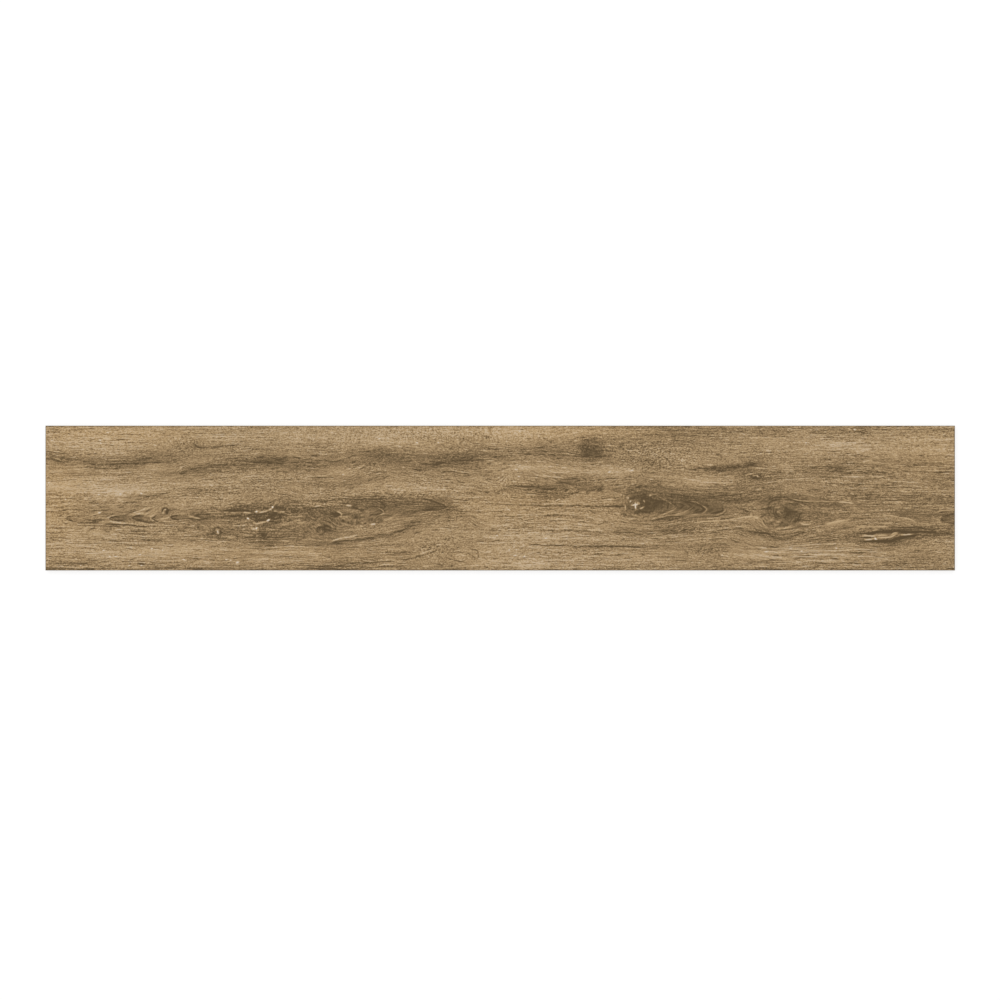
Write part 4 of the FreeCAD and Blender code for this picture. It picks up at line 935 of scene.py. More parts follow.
def listCracks():
    # the cream lines and specks, in the same form
    cracks = []
    white, cream, contrast = drawing["cream"]
    for halfWidth, level, cover, *course in creamCracks:
        shade = level if level > white else cream + contrast * (level - cream)
        cracks.append((halfWidth, drawing["crackCover"] * cover, shade / 255, pairs(course)))
    halfWidth, cover, level, halfLength = drawing["speck"]
    for along, down in paleSpecks:
        points = [(along - halfLength, down), (along + halfLength, down)]
        cracks.append((halfWidth, cover, level / 255, points))
    return cracks


def paintTips(p, shaken, tone):
    # ring tips and knots darken what they enclose
    for along, down, way, reach, halfHeight, slope, fill, *_ in ringTips:
        inward = way * (p - along)
        half = halfHeight * np.sqrt(np.clip(inward, 0, None) / reach)
        inside = np.where(inward < 0, inward, half - np.abs(shaken - down - slope * inward))
        fade = np.clip(drawing["tipFade"] - drawing["tipFade"] * inward / reach, 0, 1)
        tone = tone + fade * fill / outside(inside - drawing["tipInset"])
    for along, down, radiusAlong, radiusAcross, _, _, core in ringedKnots:
        radius = np.hypot((p - along) / radiusAlong, (shaken - down) / radiusAcross)
        tone = tone + core * np.exp(-((radius / drawing["knotCore"]) ** 2))
    return tone


def paintPatches(ragged, shaken, p, q, grey):
    # inks the patches over the tones, and says how much grain is left to show
    calm = 1 + gathered(p, q, drawnPlaces)
    blackest, inBlack, elsewhere = drawing["calming"]
    for level, cover, *course in inkShapes:
        corners = pairs(course)
        patch = nearPath(p, q, corners, drawing["patchReach"])
        if patch:
            ink = cover * inkCover(ragged[patch], shaken[patch], corners)
            grey[patch] += (level - grey[patch]) * ink
            calm[patch] *= 1 - ink * (inBlack if level < blackest else elsewhere)
    return calm


def layRings(p, q, shaken):
    # where nested rings take over from the grain, and coordinates along and across them
    share = np.zeros_like(p)
    around = np.zeros_like(p)
    for along, down, way, openness, tilt, gap, *place in ringNests:
        if way:
            rings = way * (p - along) + (shaken - down - tilt * (p - along)) ** 2 / openness
        else:
            rings = np.hypot((p - along) / openness, shaken - down)
        near = place[4] * nearness(p, q, place)
        around = np.where(near > share, rings / gap, around)
        share = np.maximum(near, share)
    return share, np.stack([p + q, around, np.zeros_like(p)], axis=-1)


def paintFigure(p, q):
    # every field that the face keeps on its points, by name
    along, across = layGrain(p, q)
    shaken = swayed(q, p, q, "shaken")
    grey = figure["meanGrey"] + paintTips(p, shaken, paintSoftTones(p, q, along, across))
    calm = paintPatches(swayed(p, p, q, "ragged"), shaken, p, q, grey)
    ringShare, ringFlow = layRings(p, q, shaken)
    fields = {
        "figureTone": grey / 255,
        "wildGrain": np.max([patch[4] * nearness(p, q, patch) for patch in wildGrain], axis=0),
        "calmGrain": calm,
        "combGrain": nearness(p, q, combPlace),
        "fibreSlope": np.clip(gathered(p, q, fibreSlopes), -1, 1),
        "ringShare": ringShare,
        "ringFlow": ringFlow,
        "goldenInk": np.clip(gathered(p, q, goldenPlaces), 0, 1),
        "longGrain": 1 + gathered(p, q, longFibres),
        "grainFlow": np.stack([along, across, np.zeros_like(along)], axis=-1),
    }
    for name, marks in (("growthLine", listLines()), ("creamCrack", listCracks())):
        for number, layer in enumerate(traceLines(p, shaken, marks, drawing["layers"][name])):
            fields[f"{name}{number}"] = layer
    return fields


def addNode(tree, kind, inputs=None, **settings):
    # one node, with its settings, and its sockets filled by values or by links
    node = tree.nodes.new(kind)
    for name, value in settings.items():
        setattr(node, name, value)
    for key, value in (inputs or {}).items():
        if isinstance(value, bpy.types.NodeSocket):
            tree.links.new(value, node.inputs[key])
        else:
            node.inputs[key].default_value = value
    return node


def reckon(tree, operation, *values, clamp=False):
    node = addNode(tree, "ShaderNodeMath", dict(enumerate(values)), operation=operation, use_clamp=clamp)
    return node.outputs[0]


def spread(tree, value, fromLow, fromHigh, toLow, toHigh):
    ends = {"From Min": fromLow, "From Max": fromHigh, "To Min": toLow, "To Max": toHigh}
    return addNode(tree, "ShaderNodeMapRange", {"Value": value, **ends}).outputs["Result"]


def blend(tree, share, first, second):
    return addNode(tree, "ShaderNodeMix", {"Factor": share, 2: first, 3: second}).outputs[0]


def blendShades(tree, share, first, second, way="MIX"):
    inputs = {0: share, 6: first, 7: second}
    return addNode(tree, "ShaderNodeMix", inputs, data_type="RGBA", blend_type=way).outputs[2]


def added(tree, parts):
    total = parts[0]
    for part in parts[1:]:
        total = reckon(tree, "ADD", total, part)
    return total


def weighted(tree, values, shares):
    return added(tree, [reckon(tree, "MULTIPLY", value, share) for value, share in zip(values, shares)])


def bell(tree, value, sharpness):
    # 1 where the value is 0, falling off on both sides
    square = reckon(tree, "POWER", value, 2.0)
    return reckon(tree, "POWER", math.e, reckon(tree, "MULTIPLY", square, -sharpness))


def turned(tree, along, across):
    return addNode(tree, "ShaderNodeCombineXYZ", {0: along, 1: across}).outputs[0]


def together(tree, operation, first, second):
    return addNode(tree, "ShaderNodeVectorMath", {0: first, 1: second}, operation=operation).outputs[0]


def noiseAt(tree, place, scale, detail):
    inputs = {"Vector": place, "Scale": scale, "Detail": detail}
    return addNode(tree, "ShaderNodeTexNoise", inputs).outputs["Fac"]


def fibreNoise(tree, place, along, across, seed, detail=1.0):
    # smooth noise stretched along the grain, on sizes in grid units; each seed looks at another place
    scaled = together(tree, "MULTIPLY", place, (1 / along, 1 / across, 1))
    return noiseAt(tree, together(tree, "ADD", scaled, (seed * 3.7, seed * 5.3, seed)), 1.0, detail)


def fromSrgb(red, green, blue):
    whole = [channel / 255 for channel in (red, green, blue)]
    return [c / 12.92 if c <= 0.04045 else ((c + 0.055) / 1.055) ** 2.4 for c in whole] + [1.0]


def underGloss(shade, veil):
    # the glaze's own sheen adds a little white, which the ink leaves room for
    return [max(channel - veil, 0.004) for channel in fromSrgb(*shade)[:3]] + [1.0]


def twoShades(tree, value, stops):
    ramp = addNode(tree, "ShaderNodeValToRGB", {"Fac": value})
    for stop, (position, shade) in zip(ramp.color_ramp.elements, stops):
        stop.position = position
        stop.color = fromSrgb(*shade)
    return ramp.outputs["Color"]


def startMaterial(name):
    material = bpy.data.materials.new(name)
    material.use_nodes = True
    tree = material.node_tree
    return material, tree, tree.nodes["Principled BSDF"]


def finishSurface(tree, surface, finish, shade, roughness, height):
    # the last links of a finish: its shade, roughness, gloss and fine relief
    tree.links.new(shade, surface.inputs["Base Color"])
    tree.links.new(roughness, surface.inputs["Roughness"])
    surface.inputs["Specular IOR Level"].default_value = finish["specular"]
    strength, depth = finish["fineRelief"]
    relief = addNode(tree, "ShaderNodeBump", {"Strength": strength, "Distance": depth, "Height": height})
    tree.links.new(relief.outputs["Normal"], surface.inputs["Normal"])


printedFace = {
    "ramp": [  # ink shades by grey level
        (77, (91, 76, 56)), (92, (107, 90, 66)), (106, (123, 103, 76)), (115.5, (135, 113, 83)),
        (124, (145, 121, 90)), (135, (157, 132, 98)), (144, (167, 141, 105)), (153, (177, 150, 113)),
        (164, (187, 161, 123)), (173, (196, 170, 134)), (185, (197, 183, 164)), (202, (214, 200, 182)),
        (226, (234, 224, 210)),
    ],
    "fibres": [(90, 1.1, 40), (30, 1.0, 40)],  # long ones: reach along, reach across, grey levels
    "flecks": [(14, 1.15, 37), (6, 1.0, 46), (2.6, 0.9, 66), (1.2, 0.8, 72)],  # short ones
    "sloped": [(20, 1.1, 50), (8, 1.0, 50), (3, 0.9, 60), (1.2, 0.8, 66)],  # those that climb or fall
    "rings": [(60, 1.0, 52), (24, 0.55, 46), (4, 0.5, 40), (1.3, 0.5, 40)],  # across: in gaps between rings
    "streaks": [(150, 6.5, 9)],
    "broken": [(5, 1.4, 52), (2.2, 1.05, 98), (1.2, 0.9, 84), (12, 1.4, 38)],  # all where the grain is wild
    "comb": [(1.4, 10, 44)],  # fine cross marks in the pale upper band
    "seeds": {"fibres": 1, "broken": 5, "streaks": 9, "comb": 10, "hairs": 14, "flecks": 22, "climbing": 40,
              "falling": 50, "rings": 80},
    "steepness": 0.3,
    "shortMark": 5,  # shorter marks have clear ends, longer ones fade
    "clearEnds": (0.11, 0.3),  # how far the noise swings, and the share of the grey levels
    "fadingEnds": (0.5, 1.0),
    "waviness": (18, 6, 70),  # reach along, reach across and seed
    "sway": 1.5,
    "dashes": (10, 2.4, 19),  # the same, for gaps in long fibres
    "dashStrength": (0.35, 0.65, 0.5, 1.5),
    "uneven": (6, 2.5, 12),  # and for drawn lines, which print unevenly
    "unevenStrength": (0.3, 0.7, 0.85, 1.6),
    "fleckStrength": (0.5, 2.0, 1.15, 0.6),  # flecks give way where long fibres show more
    "hairs": [(70, 4.5, 12, -30), (46, 5.5, 9, 22)],  # reach along, spacing across, dash length, grey levels
    "hairSharpness": 2200.0,
    "hairDashes": (1.6, 0.42, 0.62),  # reach across of the dashes, and where they start and are full
    "inkRange": (72, 178),  # darkest and palest ink, apart from the cream
    "inkRounding": (0.03, 0.05),
    "golden": (1.03, 0.985, 0.89, 1.0),  # how the golden ink tints the shade
    "glossVeil": 0.022,
    "roughness": (0.3, 0.7, 0.62, 0.5),  # dark ink is rougher than pale
    "specular": 0.22,
    "fineRelief": (0.35, 0.0004),
}


def makePrintedFace():
    material, tree, surface = startMaterial("printed_glaze")
    seeds = printedFace["seeds"]

    def given(name, output="Fac"):
        return addNode(tree, "ShaderNodeAttribute", attribute_name=name).outputs[output]

    flow = given("grainFlow", "Vector")
    sway = printedFace["sway"]
    waves = spread(tree, fibreNoise(tree, flow, *printedFace["waviness"]), 0, 1, -sway, sway)
    flow = together(tree, "ADD", flow, turned(tree, 0, waves))

    def climbing(slope):
        parts = addNode(tree, "ShaderNodeSeparateXYZ", {0: flow}).outputs
        return turned(tree, parts[0], reckon(tree, "MULTIPLY_ADD", parts[0], slope, parts[1]))

    def layered(name, firstSeed=None, place=flow):
        layers = []
        for seed, (along, across, levels) in enumerate(printedFace[name], firstSeed or seeds[name]):
            swing, share = printedFace["clearEnds" if along < printedFace["shortMark"] else "fadingEnds"]
            most = share * levels / 255
            noise = fibreNoise(tree, place, along, across, seed)
            layers.append(spread(tree, noise, 0.5 - swing, 0.5 + swing, -most, most))
        return added(tree, layers)

    # fine grain, straight or broken up
    dashed = spread(tree, fibreNoise(tree, flow, *printedFace["dashes"]), *printedFace["dashStrength"])
    dashed = reckon(tree, "MULTIPLY", dashed, given("longGrain"))
    fleckShare = spread(tree, given("longGrain"), *printedFace["fleckStrength"])
    flecks = reckon(tree, "MULTIPLY", layered("flecks"), fleckShare)
    fine = reckon(tree, "MULTIPLY_ADD", layered("fibres"), dashed, flecks)
    slope = given("fibreSlope")
    for way, seedName in ((1, "climbing"), (-1, "falling")):
        sloped = layered("sloped", seeds[seedName], climbing(way * printedFace["steepness"]))
        fine = blend(tree, reckon(tree, "MULTIPLY", slope, way, clamp=True), fine, sloped)
    fine = blend(tree, given("wildGrain"), fine, layered("broken"))
    ringed = layered("rings", place=given("ringFlow", "Vector"))
    fine = blend(tree, given("ringShare"), fine, ringed)
    fine = reckon(tree, "ADD", fine, layered("streaks"))
    fine = reckon(tree, "MULTIPLY_ADD", layered("comb"), given("combGrain"), fine)
    dashWidth, dashStart, dashFull = printedFace["hairDashes"]
    for seed, (along, across, dash, levels) in enumerate(printedFace["hairs"], seeds["hairs"]):
        # thin broken lines where a stretched noise passes its middle value
        level = reckon(tree, "SUBTRACT", fibreNoise(tree, flow, along, across, seed, 2.0), 0.5)
        line = bell(tree, level, printedFace["hairSharpness"])
        dashNoise = fibreNoise(tree, flow, dash, dashWidth, seed + 4)
        dashes = spread(tree, dashNoise, dashStart, dashFull, 0.0, levels / 255)
        fine = reckon(tree, "MULTIPLY_ADD", line, dashes, fine)
    grey = reckon(tree, "MULTIPLY_ADD", fine, given("calmGrain"), given("figureTone"))

    def drawn(name):
        # profile of a thin line times its strength, and its shade
        parts = addNode(tree, "ShaderNodeSeparateXYZ", {0: given(name, "Vector")}).outputs
        return reckon(tree, "MULTIPLY", bell(tree, parts[0], 1.0), parts[1]), parts[2]

    uneven = spread(tree, fibreNoise(tree, flow, *printedFace["uneven"]), *printedFace["unevenStrength"])
    for number in range(drawing["layers"]["growthLine"]):
        grey = reckon(tree, "MULTIPLY_ADD", drawn(f"growthLine{number}")[0], uneven, grey)
    darkest, palest = printedFace["inkRange"]
    darkRounding, paleRounding = printedFace["inkRounding"]
    grey = reckon(tree, "SMOOTH_MIN", grey, palest / 255, paleRounding)
    grey = reckon(tree, "SMOOTH_MAX", grey, darkest / 255, darkRounding)
    for number in range(drawing["layers"]["creamCrack"]):
        cover, shade = drawn(f"creamCrack{number}")
        grey = blend(tree, reckon(tree, "MULTIPLY", cover, uneven, clamp=True), grey, shade)
    ramp = addNode(tree, "ShaderNodeValToRGB", {"Fac": grey})
    stops = ramp.color_ramp.elements
    for level, shade in printedFace["ramp"]:
        stop = stops.new(level / 255)
        stop.color = underGloss(shade, printedFace["glossVeil"])
    stops.remove(stops[len(stops) - 1])  # the two stops that a new ramp starts with
    stops.remove(stops[0])
    ink = blendShades(tree, given("goldenInk"), ramp.outputs["Color"], printedFace["golden"], "MULTIPLY")
    roughness = spread(tree, grey, *printedFace["roughness"])
    finishSurface(tree, surface, printedFace, ink, roughness, grey)
    return material


groundEdge = {
    "strokes": (60, 60, 5200),  # grinding strokes along the edge
    "grit": (1700.0, 2.0),  # scale and detail
    "clouds": (22.0, 3.0),
    "shares": (0.35, 0.4, 0.25),  # of strokes, grit and clouds
    "shades": [(0.34, (122, 103, 77)), (0.66, (159, 138, 108))],
    "glazeHeights": (0.0088, 0.0091),  # where the glaze starts and is whole
    "glazeWander": 0.0003,
    "glazeStreaks": (70, 260, 260),
    "glazeContrast": (0.35, 0.65),
    # the bevel's glaze, darker than the face: partly its own colour, partly painted shade
    "glazeWithPaintedShade": ((90, 74, 53), (118, 98, 71)),
    "roughness": (0.3, 0.7, 0.7, 0.85),
    "specular": 0.3,
    "fineRelief": (0.3, 0.0002),
}


def makeGroundEdge():
    material, tree, surface = startMaterial("ground_edge")
    place = addNode(tree, "ShaderNodeTexCoord").outputs["Object"]
    height = addNode(tree, "ShaderNodeSeparateXYZ", {0: place}).outputs["Z"]
    grind = noiseAt(tree, together(tree, "MULTIPLY", place, groundEdge["strokes"]), 1.0, 2.0)
    grit = noiseAt(tree, place, *groundEdge["grit"])
    clouds = noiseAt(tree, place, *groundEdge["clouds"])
    mixed = weighted(tree, (grind, grit, clouds), groundEdge["shares"])
    bare = twoShades(tree, mixed, groundEdge["shades"])
    # glaze runs over the bevel, and ends a little unevenly; its dark shades are partly the glaze and partly
    # painted shade of the bevel
    wander = reckon(tree, "MULTIPLY_ADD", grit, groundEdge["glazeWander"], height)
    glazed = spread(tree, wander, *groundEdge["glazeHeights"], 0.0, 1.0)
    streaks = noiseAt(tree, together(tree, "MULTIPLY", place, groundEdge["glazeStreaks"]), 1.0, 2.0)
    dark, pale = [fromSrgb(*shade) for shade in groundEdge["glazeWithPaintedShade"]]
    glaze = blendShades(tree, spread(tree, streaks, *groundEdge["glazeContrast"], 0.0, 1.0), dark, pale)
    shade = blendShades(tree, glazed, bare, glaze)
    roughness = spread(tree, grind, *groundEdge["roughness"])
    finishSurface(tree, surface, groundEdge, shade, roughness, mixed)
    return material


pressedBack = {
    "clouds": (14.0, 4.0),  # scale and detail
    "grit": (900.0, 3.0),
    "dust": (130.0, 3.0),
    "shares": (0.45, 0.35),  # of clouds and grit
    "lift": 0.08,
    "crestDust": (0.0, 0.0005, 0.16, 0.0),  # kiln wash dusts the raised ribs
    "dustPatches": (0.35, 0.6, 0.2, 1.3),
    "shades": [(0.3, (142, 122, 95)), (0.75, (196, 183, 163))],
    "roughness": (0.3, 0.7, 0.78, 0.92),
    "specular": 0.25,
    "fineRelief": (0.4, 0.0003),
}


def makePressedBack():
    material, tree, surface = startMaterial("pressed_back")
    place = addNode(tree, "ShaderNodeTexCoord").outputs["Object"]
    height = addNode(tree, "ShaderNodeSeparateXYZ", {0: place}).outputs["Z"]
    clouds = noiseAt(tree, place, *pressedBack["clouds"])
    grit = noiseAt(tree, place, *pressedBack["grit"])
    dust = noiseAt(tree, place, *pressedBack["dust"])
    crest = spread(tree, height, *pressedBack["crestDust"])
    crest = reckon(tree, "MULTIPLY", crest, spread(tree, dust, *pressedBack["dustPatches"]))
    mixed = weighted(tree, (clouds, grit), pressedBack["shares"])
    mixed = reckon(tree, "ADD", mixed, reckon(tree, "ADD", crest, pressedBack["lift"]))
    shade = twoShades(tree, mixed, pressedBack["shades"])
    roughness = spread(tree, grit, *pressedBack["roughness"])
    finishSurface(tree, surface, pressedBack, shade, roughness, mixed)
    return material


faceMaterial = makePrintedFace()
edgeMaterial = makeGroundEdge()
backMaterial = makePressedBack()
print("materials made")

slab = {
    "faceBevel": 0.0008,
    "backMargin": 0.012,
    "ribWidth": 0.0035,
    "recessSize": 0.021,  # about; the pitch makes whole recesses fit
    "recessDepth": 0.0007,
    "recessDraft": 0.000404,  # how far a recess floor stands in from its mouth
    "reliefDepth": 0.00028,  # how deep the grain is pressed in
    "grooves": (55, 3.0, 21),  # reach along, reach across and seed of the fibres that are pressed in
    "grooveDepth": (0.5, 0.72, 0.0, 0.55),  # from noise to a share of the relief
    "darkDepth": (0.52, 0.34, 0.0, 0.45),  # from the figure's tone to a share of the relief
    "weld": 0.00002,
    "cells": (600, 150),  # quads of the printed face
}
zones = {"face": 0, "edge": 1, "back": 2}


def addObject(name, data):
    made = bpy.data.objects.new(name, data)
    bpy.context.collection.objects.link(made)
    return made


def recessRun(side):
    # how many recesses fit a side, and their pitch and mouth
    room = side - 2 * slab["backMargin"]
    count = max(1, round((room + slab["ribWidth"]) / (slab["recessSize"] + slab["ribWidth"])))
    pitch = (room + slab["ribWidth"]) / count
    return count, pitch, pitch - slab["ribWidth"]


def makePrintGrid():
    # the flat face, with the figure kept on its points
    inset = slab["faceBevel"]
    columns, rows = slab["cells"]
    x = np.linspace(low[0] + inset, high[0] - inset, columns + 1)
    y = np.linspace(low[1] + inset, high[1] - inset, rows + 1)
    gridX, gridY = np.meshgrid(x, y[::-1])
    p = figure["edge"][0] + (gridX - low[0]) / plankLength * figure["columns"]
    q = figure["edge"][1] + (high[1] - gridY) / plankWidth * figure["rows"]
    points = np.stack([gridX, gridY, np.full_like(gridX, high[2])], axis=-1).reshape(-1, 3)
    corner = np.arange(rows)[:, None] * (columns + 1) + np.arange(columns)
    faces = np.stack([corner, corner + columns + 1, corner + columns + 2, corner + 1], axis=-1).reshape(-1, 4)
    mesh = bpy.data.meshes.new("printGrid")
    mesh.from_pydata(points.tolist(), [], faces.tolist())
    mesh.materials.append(faceMaterial)
    for name, field in paintFigure(p, q).items():
        kind, values = ("FLOAT_VECTOR", "vector") if field.ndim == 3 else ("FLOAT", "value")
        mesh.attributes.new(name, kind, "POINT").data.foreach_set(values, field.ravel())
    return mesh


def makeSlabTree(sizes):
    tree = bpy.data.node_groups.new("pressedSlab", "GeometryNodeTree")
    sockets = tree.interface
    sockets.new_socket("Geometry", in_out="INPUT", socket_type="NodeSocketGeometry")
    for name, value in sizes.items():
        kind = "NodeSocketInt" if isinstance(value, int) else "NodeSocketFloat"
        sockets.new_socket(name, in_out="INPUT", socket_type=kind)
    sockets.new_socket("Geometry", in_out="OUTPUT", socket_type="NodeSocketGeometry")
    given = tree.nodes.new("NodeGroupInput").outputs

    def step(kind, inputs=None, **settings):
        return addNode(tree, "GeometryNode" + kind, inputs, **settings).outputs

    def named(name, kind="FLOAT"):
        return step("InputNamedAttribute", {"Name": name}, data_type=kind)["Attribute"]

    def joinXyz(x, y, z):
        return addNode(tree, "ShaderNodeCombineXYZ", {"X": x, "Y": y, "Z": z}).outputs[0]

    def moved(geometry, selection, position):
        return step("SetPosition", {"Geometry": geometry, "Selection": selection, "Position": position})[0]

    def pulled(mesh, selection, mode):
        # new faces from these edges or faces, still in place
        return step("ExtrudeMesh", {"Mesh": mesh, "Selection": selection, "Offset Scale": 0.0}, mode=mode)

    def equals(value, wanted):
        node = addNode(tree, "FunctionNodeCompare", {2: value, 3: wanted}, data_type="INT", operation="EQUAL")
        return node.outputs[0]

    def joined(*parts):
        node = addNode(tree, "GeometryNodeJoinGeometry")
        for part in parts:
            tree.links.new(part, node.inputs[0])
        return node.outputs[0]

    def zoned(geometry, zone, selection=True):
        inputs = {"Geometry": geometry, "Selection": selection, "Name": "zone", "Value": zones[zone]}
        return step("StoreNamedAttribute", inputs, data_type="INT", domain="FACE")[0]

    def unglazed(geometry):
        return step("SetMaterial", {"Geometry": zoned(geometry, "back"), "Material": backMaterial})[0]

    # the grain is pressed into the face: dark growth a little, single fibres along it
    groove = fibreNoise(tree, named("grainFlow", "FLOAT_VECTOR"), *slab["grooves"], 2.0)
    groove = spread(tree, groove, *slab["grooveDepth"])
    sunk = spread(tree, named("figureTone"), *slab["darkDepth"])
    deep = reckon(tree, "MULTIPLY", reckon(tree, "ADD", groove, sunk), given["Relief"])
    drop = joinXyz(0.0, 0.0, reckon(tree, "MULTIPLY", deep, -1.0))
    pressed = step("SetPosition", {"Geometry": given["Geometry"], "Offset": drop})[0]

    # ground bevel, then the sides down to the back
    rim = equals(step("InputMeshEdgeNeighbors")[0], 1)
    place = addNode(tree, "ShaderNodeSeparateXYZ", {0: step("InputPosition")[0]}).outputs

    def inset(size, by):
        return reckon(tree, "MULTIPLY_ADD", given[by], -2.0, size)

    def resized(axis, before, after):
        return reckon(tree, "MULTIPLY", place[axis], reckon(tree, "DIVIDE", after, before))

    def outward(axis, size):
        return resized(axis, inset(size, "Bevel"), size)

    bevel = pulled(pressed, rim, "EDGES")
    shoulder = reckon(tree, "SUBTRACT", given["Thickness"], given["Bevel"])
    grown = joinXyz(outward("X", given["Length"]), outward("Y", given["Width"]), shoulder)
    body = moved(zoned(bevel["Mesh"], "edge", bevel["Side"]), bevel["Top"], grown)
    sides = pulled(body, bevel["Top"], "EDGES")
    atFoot = joinXyz(place["X"], place["Y"], 0.0)
    body = moved(zoned(sides["Mesh"], "edge", sides["Side"]), sides["Top"], atFoot)

    # keyed back: the plate between the recesses, then the recesses themselves
    def runLength(count, pitch):
        return reckon(tree, "MULTIPLY", reckon(tree, "SUBTRACT", count, 1.0), pitch)

    def grid(along, across, pointsAlong, pointsAcross):
        inputs = {"Size X": along, "Size Y": across, "Vertices X": pointsAlong, "Vertices Y": pointsAcross}
        return step("MeshGrid", inputs)["Mesh"]

    def flipped(mesh):
        return step("FlipFaces", {"Mesh": mesh})[0]

    counts = given["Count Along"], given["Count Across"]
    mouth = given["Mouth Along"], given["Mouth Across"]
    runs = runLength(counts[0], given["Pitch Along"]), runLength(counts[1], given["Pitch Across"])
    spots = grid(*runs, *counts)

    def onSpots(piece):
        pieces = step("InstanceOnPoints", {"Points": spots, "Instance": piece})[0]
        return step("RealizeInstances", {"Geometry": pieces})[0]

    loop = step("MeshToCurve", {"Mesh": body, "Selection": sides["Top"]})[0]
    mouths = onSpots(step("CurvePrimitiveQuadrilateral", {"Width": mouth[0], "Height": mouth[1]})[0])
    plate = unglazed(flipped(step("FillCurve", {"Curve": joined(loop, mouths)})[0]))
    recess = pulled(flipped(grid(*mouth, 2, 2)), True, "FACES")

    def drafted(axis, size):
        return resized(axis, size, inset(size, "Recess Draft"))

    recessFloor = joinXyz(drafted("X", mouth[0]), drafted("Y", mouth[1]), given["Recess Depth"])
    cells = onSpots(unglazed(moved(recess["Mesh"], recess["Top"], recessFloor)))

    whole = step("MergeByDistance", {"Geometry": joined(body, plate, cells), "Distance": slab["weld"]})[0]
    whole = step("RealizeInstances", {"Geometry": whole})[0]
    zone = named("zone", "INT")
    whole = step("SetShadeSmooth", {"Geometry": whole, "Shade Smooth": equals(zone, zones["face"])})[0]
    ground = equals(zone, zones["edge"])
    whole = step("SetMaterial", {"Geometry": whole, "Selection": ground, "Material": edgeMaterial})[0]
    tree.links.new(whole, addNode(tree, "NodeGroupOutput").inputs[0])
    return tree


def makePlank():
    countAlong, pitchAlong, mouthAlong = recessRun(plankLength)
    countAcross, pitchAcross, mouthAcross = recessRun(plankWidth)
    start = addObject("printGrid", makePrintGrid())
    print("figure printed on", len(start.data.polygons), "cells")
    sizes = {
        "Length": plankLength, "Width": plankWidth, "Thickness": plankThick,
        "Bevel": slab["faceBevel"], "Relief": slab["reliefDepth"],
        "Recess Depth": slab["recessDepth"], "Recess Draft": slab["recessDraft"],
        "Pitch Along": pitchAlong, "Pitch Across": pitchAcross,
        "Mouth Along": mouthAlong, "Mouth Across": mouthAcross,
        "Count Along": countAlong, "Count Across": countAcross,
    }
    modifier = start.modifiers.new("pressedSlab", "NODES")
    modifier.node_group = makeSlabTree(sizes)
    for socket in modifier.node_group.interface.items_tree:
        if socket.name in sizes:
            value = sizes[socket.name]
            modifier[socket.identifier] = value if isinstance(value, int) else float(value)
    evaluated = start.evaluated_get(bpy.context.evaluated_depsgraph_get())
    mesh = bpy.data.meshes.new_from_object(evaluated)
    mesh.materials.pop(index=list(mesh.materials).index(None))  # the tree's grids bring an empty slot
    start.modifiers.remove(modifier)
    bpy.data.objects.remove(start)
    return addObject("wood_look_plank", mesh)


# Strips of the bake map: the printed face fills three quarters, the back and the edges share the rest
bakeMap = {
    "columns": (0.004, 0.992),  # start and length
    "face": (0.255, 0.74),
    "back": (0.004, 0.17),
    "upperEdge": 0.182,
    "lowerEdge": 0.206,
    "ends": 0.230,
    "edgeHeight": 0.016,
    "rightEnd": 0.52,
    "leftEnd": 0.02,
    "endLength": 0.44,
}


def layBakeMap(mesh):
    def read(items, name, width=1, kind=np.float64):
        values = np.empty(len(items) * width, dtype=kind)
        items.foreach_get(name, values)
        return values.reshape(-1, width) if width > 1 else values

    at = read(mesh.vertices, "co", 3)[read(mesh.loops, "vertex_index", kind=np.int32)]
    corners = read(mesh.polygons, "loop_total", kind=np.int32)
    zone = np.repeat(read(mesh.attributes["zone"].data, "value", kind=np.int32), corners)
    sideways = np.abs(read(mesh.polygons, "normal", 3)[:, :2])
    atEnd = np.repeat(sideways[:, 0] > sideways[:, 1], corners)
    share = (at - np.array(low)) / np.array(high - low)
    raised = bakeMap["edgeHeight"] * share[:, 2]

    def strip(name, place):
        start, length = bakeMap[name]
        return start + length * place

    u = strip("columns", share[:, 0])
    v = np.where(zone == zones["face"], strip("face", share[:, 1]), strip("back", share[:, 1]))
    longEdge = (zone == zones["edge"]) & ~atEnd
    v = np.where(longEdge, np.where(at[:, 1] > 0, bakeMap["upperEdge"], bakeMap["lowerEdge"]) + raised, v)
    shortEdge = (zone == zones["edge"]) & atEnd
    endStart = np.where(at[:, 0] > 0, bakeMap["rightEnd"], bakeMap["leftEnd"])
    u = np.where(shortEdge, endStart + bakeMap["endLength"] * share[:, 1], u)
    v = np.where(shortEdge, bakeMap["ends"] + raised, v)
    layer = mesh.uv_layers.new(name="OFBake")
    layer.data.foreach_set("uv", np.stack([u, v], axis=-1).ravel())


plank = makePlank()
layBakeMap(plank.data)
plank.data.calc_loop_triangles()
print("plank made,", len(plank.data.loop_triangles), "triangles")
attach(plank, "root")
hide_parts("plank_tile")

studio = {
    "floorReach": 40.0,
    "floorGap": 0.0001,  # under the plank, so that the two don't share a plane
    "floorShade": (0.75, 0.30),  # for the light, and for the eye
    "floorLift": 0.735,  # brings the floor up to white for the eye, and leaves the shadow
    "skyStrength": 0.55,
    "sunShare": 0.45,  # what the soft key adds on a level surface
    "sunTilt": (math.radians(-12), math.radians(-10)),
    "sunSize": math.radians(70),
    "pictureWidth": 1000,
    "pixel": 1.31923e-3,  # one pixel of the picture on the printed face
    "centre": (0.21, 1.945),  # where the plank sits from the middle of the picture, right and up
    "lens": 100.0,
    "sensor": 36.0,
    "farthest": 200,
}


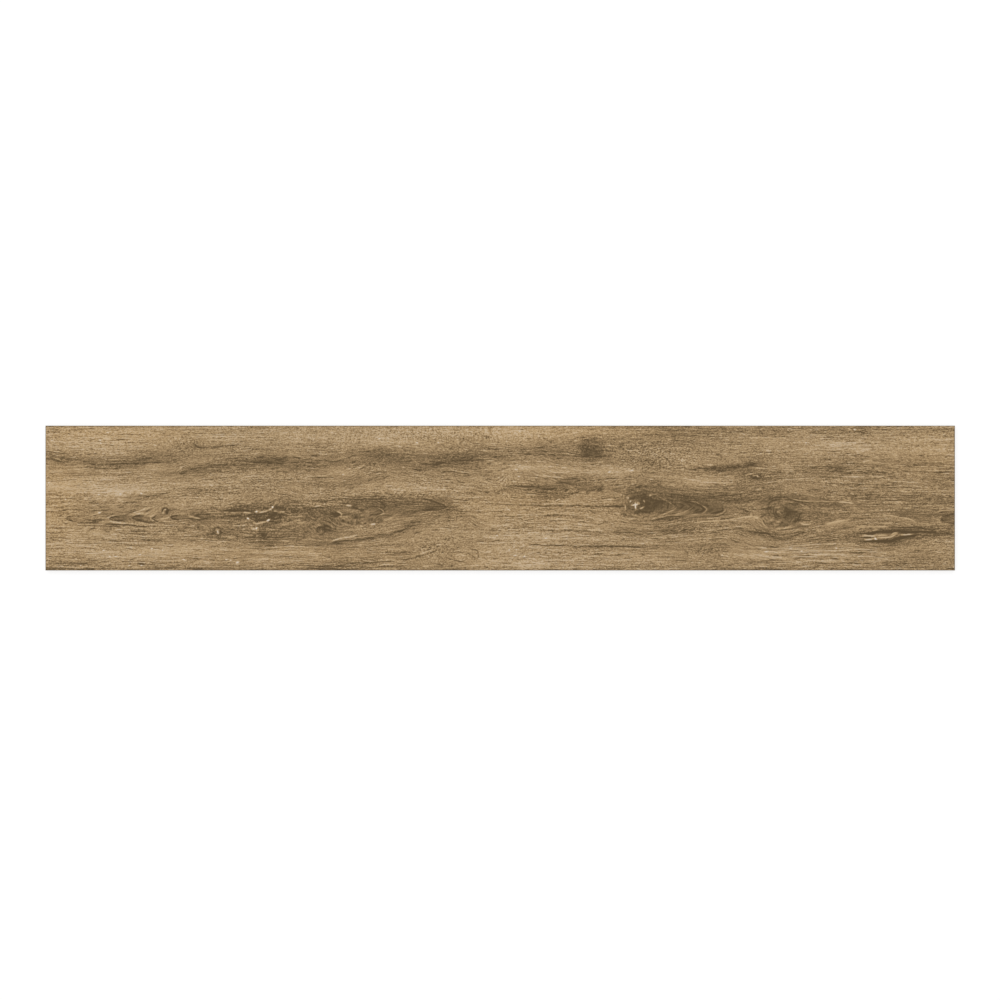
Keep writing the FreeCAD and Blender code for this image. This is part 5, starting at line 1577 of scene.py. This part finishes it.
def seenDirectly(tree):
    # camera, glossy and transmission rays together
    path = addNode(tree, "ShaderNodeLightPath").outputs
    bright = reckon(tree, "MAXIMUM", path["Is Camera Ray"], path["Is Glossy Ray"])
    return reckon(tree, "MAXIMUM", bright, path["Is Transmission Ray"])


def makeFloor():
    mesh = bpy.data.meshes.new("floor")
    far = studio["floorReach"]
    mesh.from_pydata([(-far, -far, 0), (far, -far, 0), (far, far, 0), (-far, far, 0)], [], [(0, 1, 2, 3)])
    floor = addObject("floor", mesh)
    floor.location.z = low[2] - studio["floorGap"]
    material, tree, surface = startMaterial("floor_white")
    tree.nodes.remove(surface)
    seen = seenDirectly(tree)
    shade = spread(tree, seen, 0, 1, *studio["floorShade"])
    matt = addNode(tree, "ShaderNodeBsdfDiffuse", {"Color": shade}).outputs[0]
    lift = reckon(tree, "MULTIPLY", seen, studio["floorLift"])
    glow = addNode(tree, "ShaderNodeEmission", {"Strength": lift}).outputs[0]
    both = addNode(tree, "ShaderNodeAddShader", {0: matt, 1: glow}).outputs[0]
    tree.links.new(both, tree.nodes["Material Output"].inputs["Surface"])
    mesh.materials.append(material)


def lightStudio():
    world = bpy.data.worlds.new("studio")
    bpy.context.scene.world = world
    world.use_nodes = True
    tree = world.node_tree
    sky = tree.nodes["Background"]
    sky.inputs["Color"].default_value = (1, 1, 1, 1)
    strength = spread(tree, seenDirectly(tree), 0, 1, studio["skyStrength"], 1.0)
    tree.links.new(strength, sky.inputs["Strength"])
    tilt = studio["sunTilt"]
    sun = bpy.data.lights.new("softKey", "SUN")
    sun.energy = studio["sunShare"] * math.pi / (math.cos(tilt[0]) * math.cos(tilt[1]))
    sun.angle = studio["sunSize"]
    addObject("softKey", sun).rotation_euler = (tilt[0], tilt[1], 0)


def placeCamera():
    camera = bpy.data.cameras.new("overhead")
    camera.lens = studio["lens"]
    camera.sensor_width = studio["sensor"]
    camera.clip_end = studio["farthest"]
    rig = addObject("overhead", camera)
    right, up = studio["centre"]
    distance = studio["pictureWidth"] * studio["pixel"] * camera.lens / camera.sensor_width
    rig.location = (-right * studio["pixel"], -up * studio["pixel"], high[2] + distance)
    bpy.context.scene.camera = rig


makeFloor()
lightStudio()
placeCamera()
bpy.context.scene.view_settings.view_transform = "Standard"
print("studio lit, camera overhead")
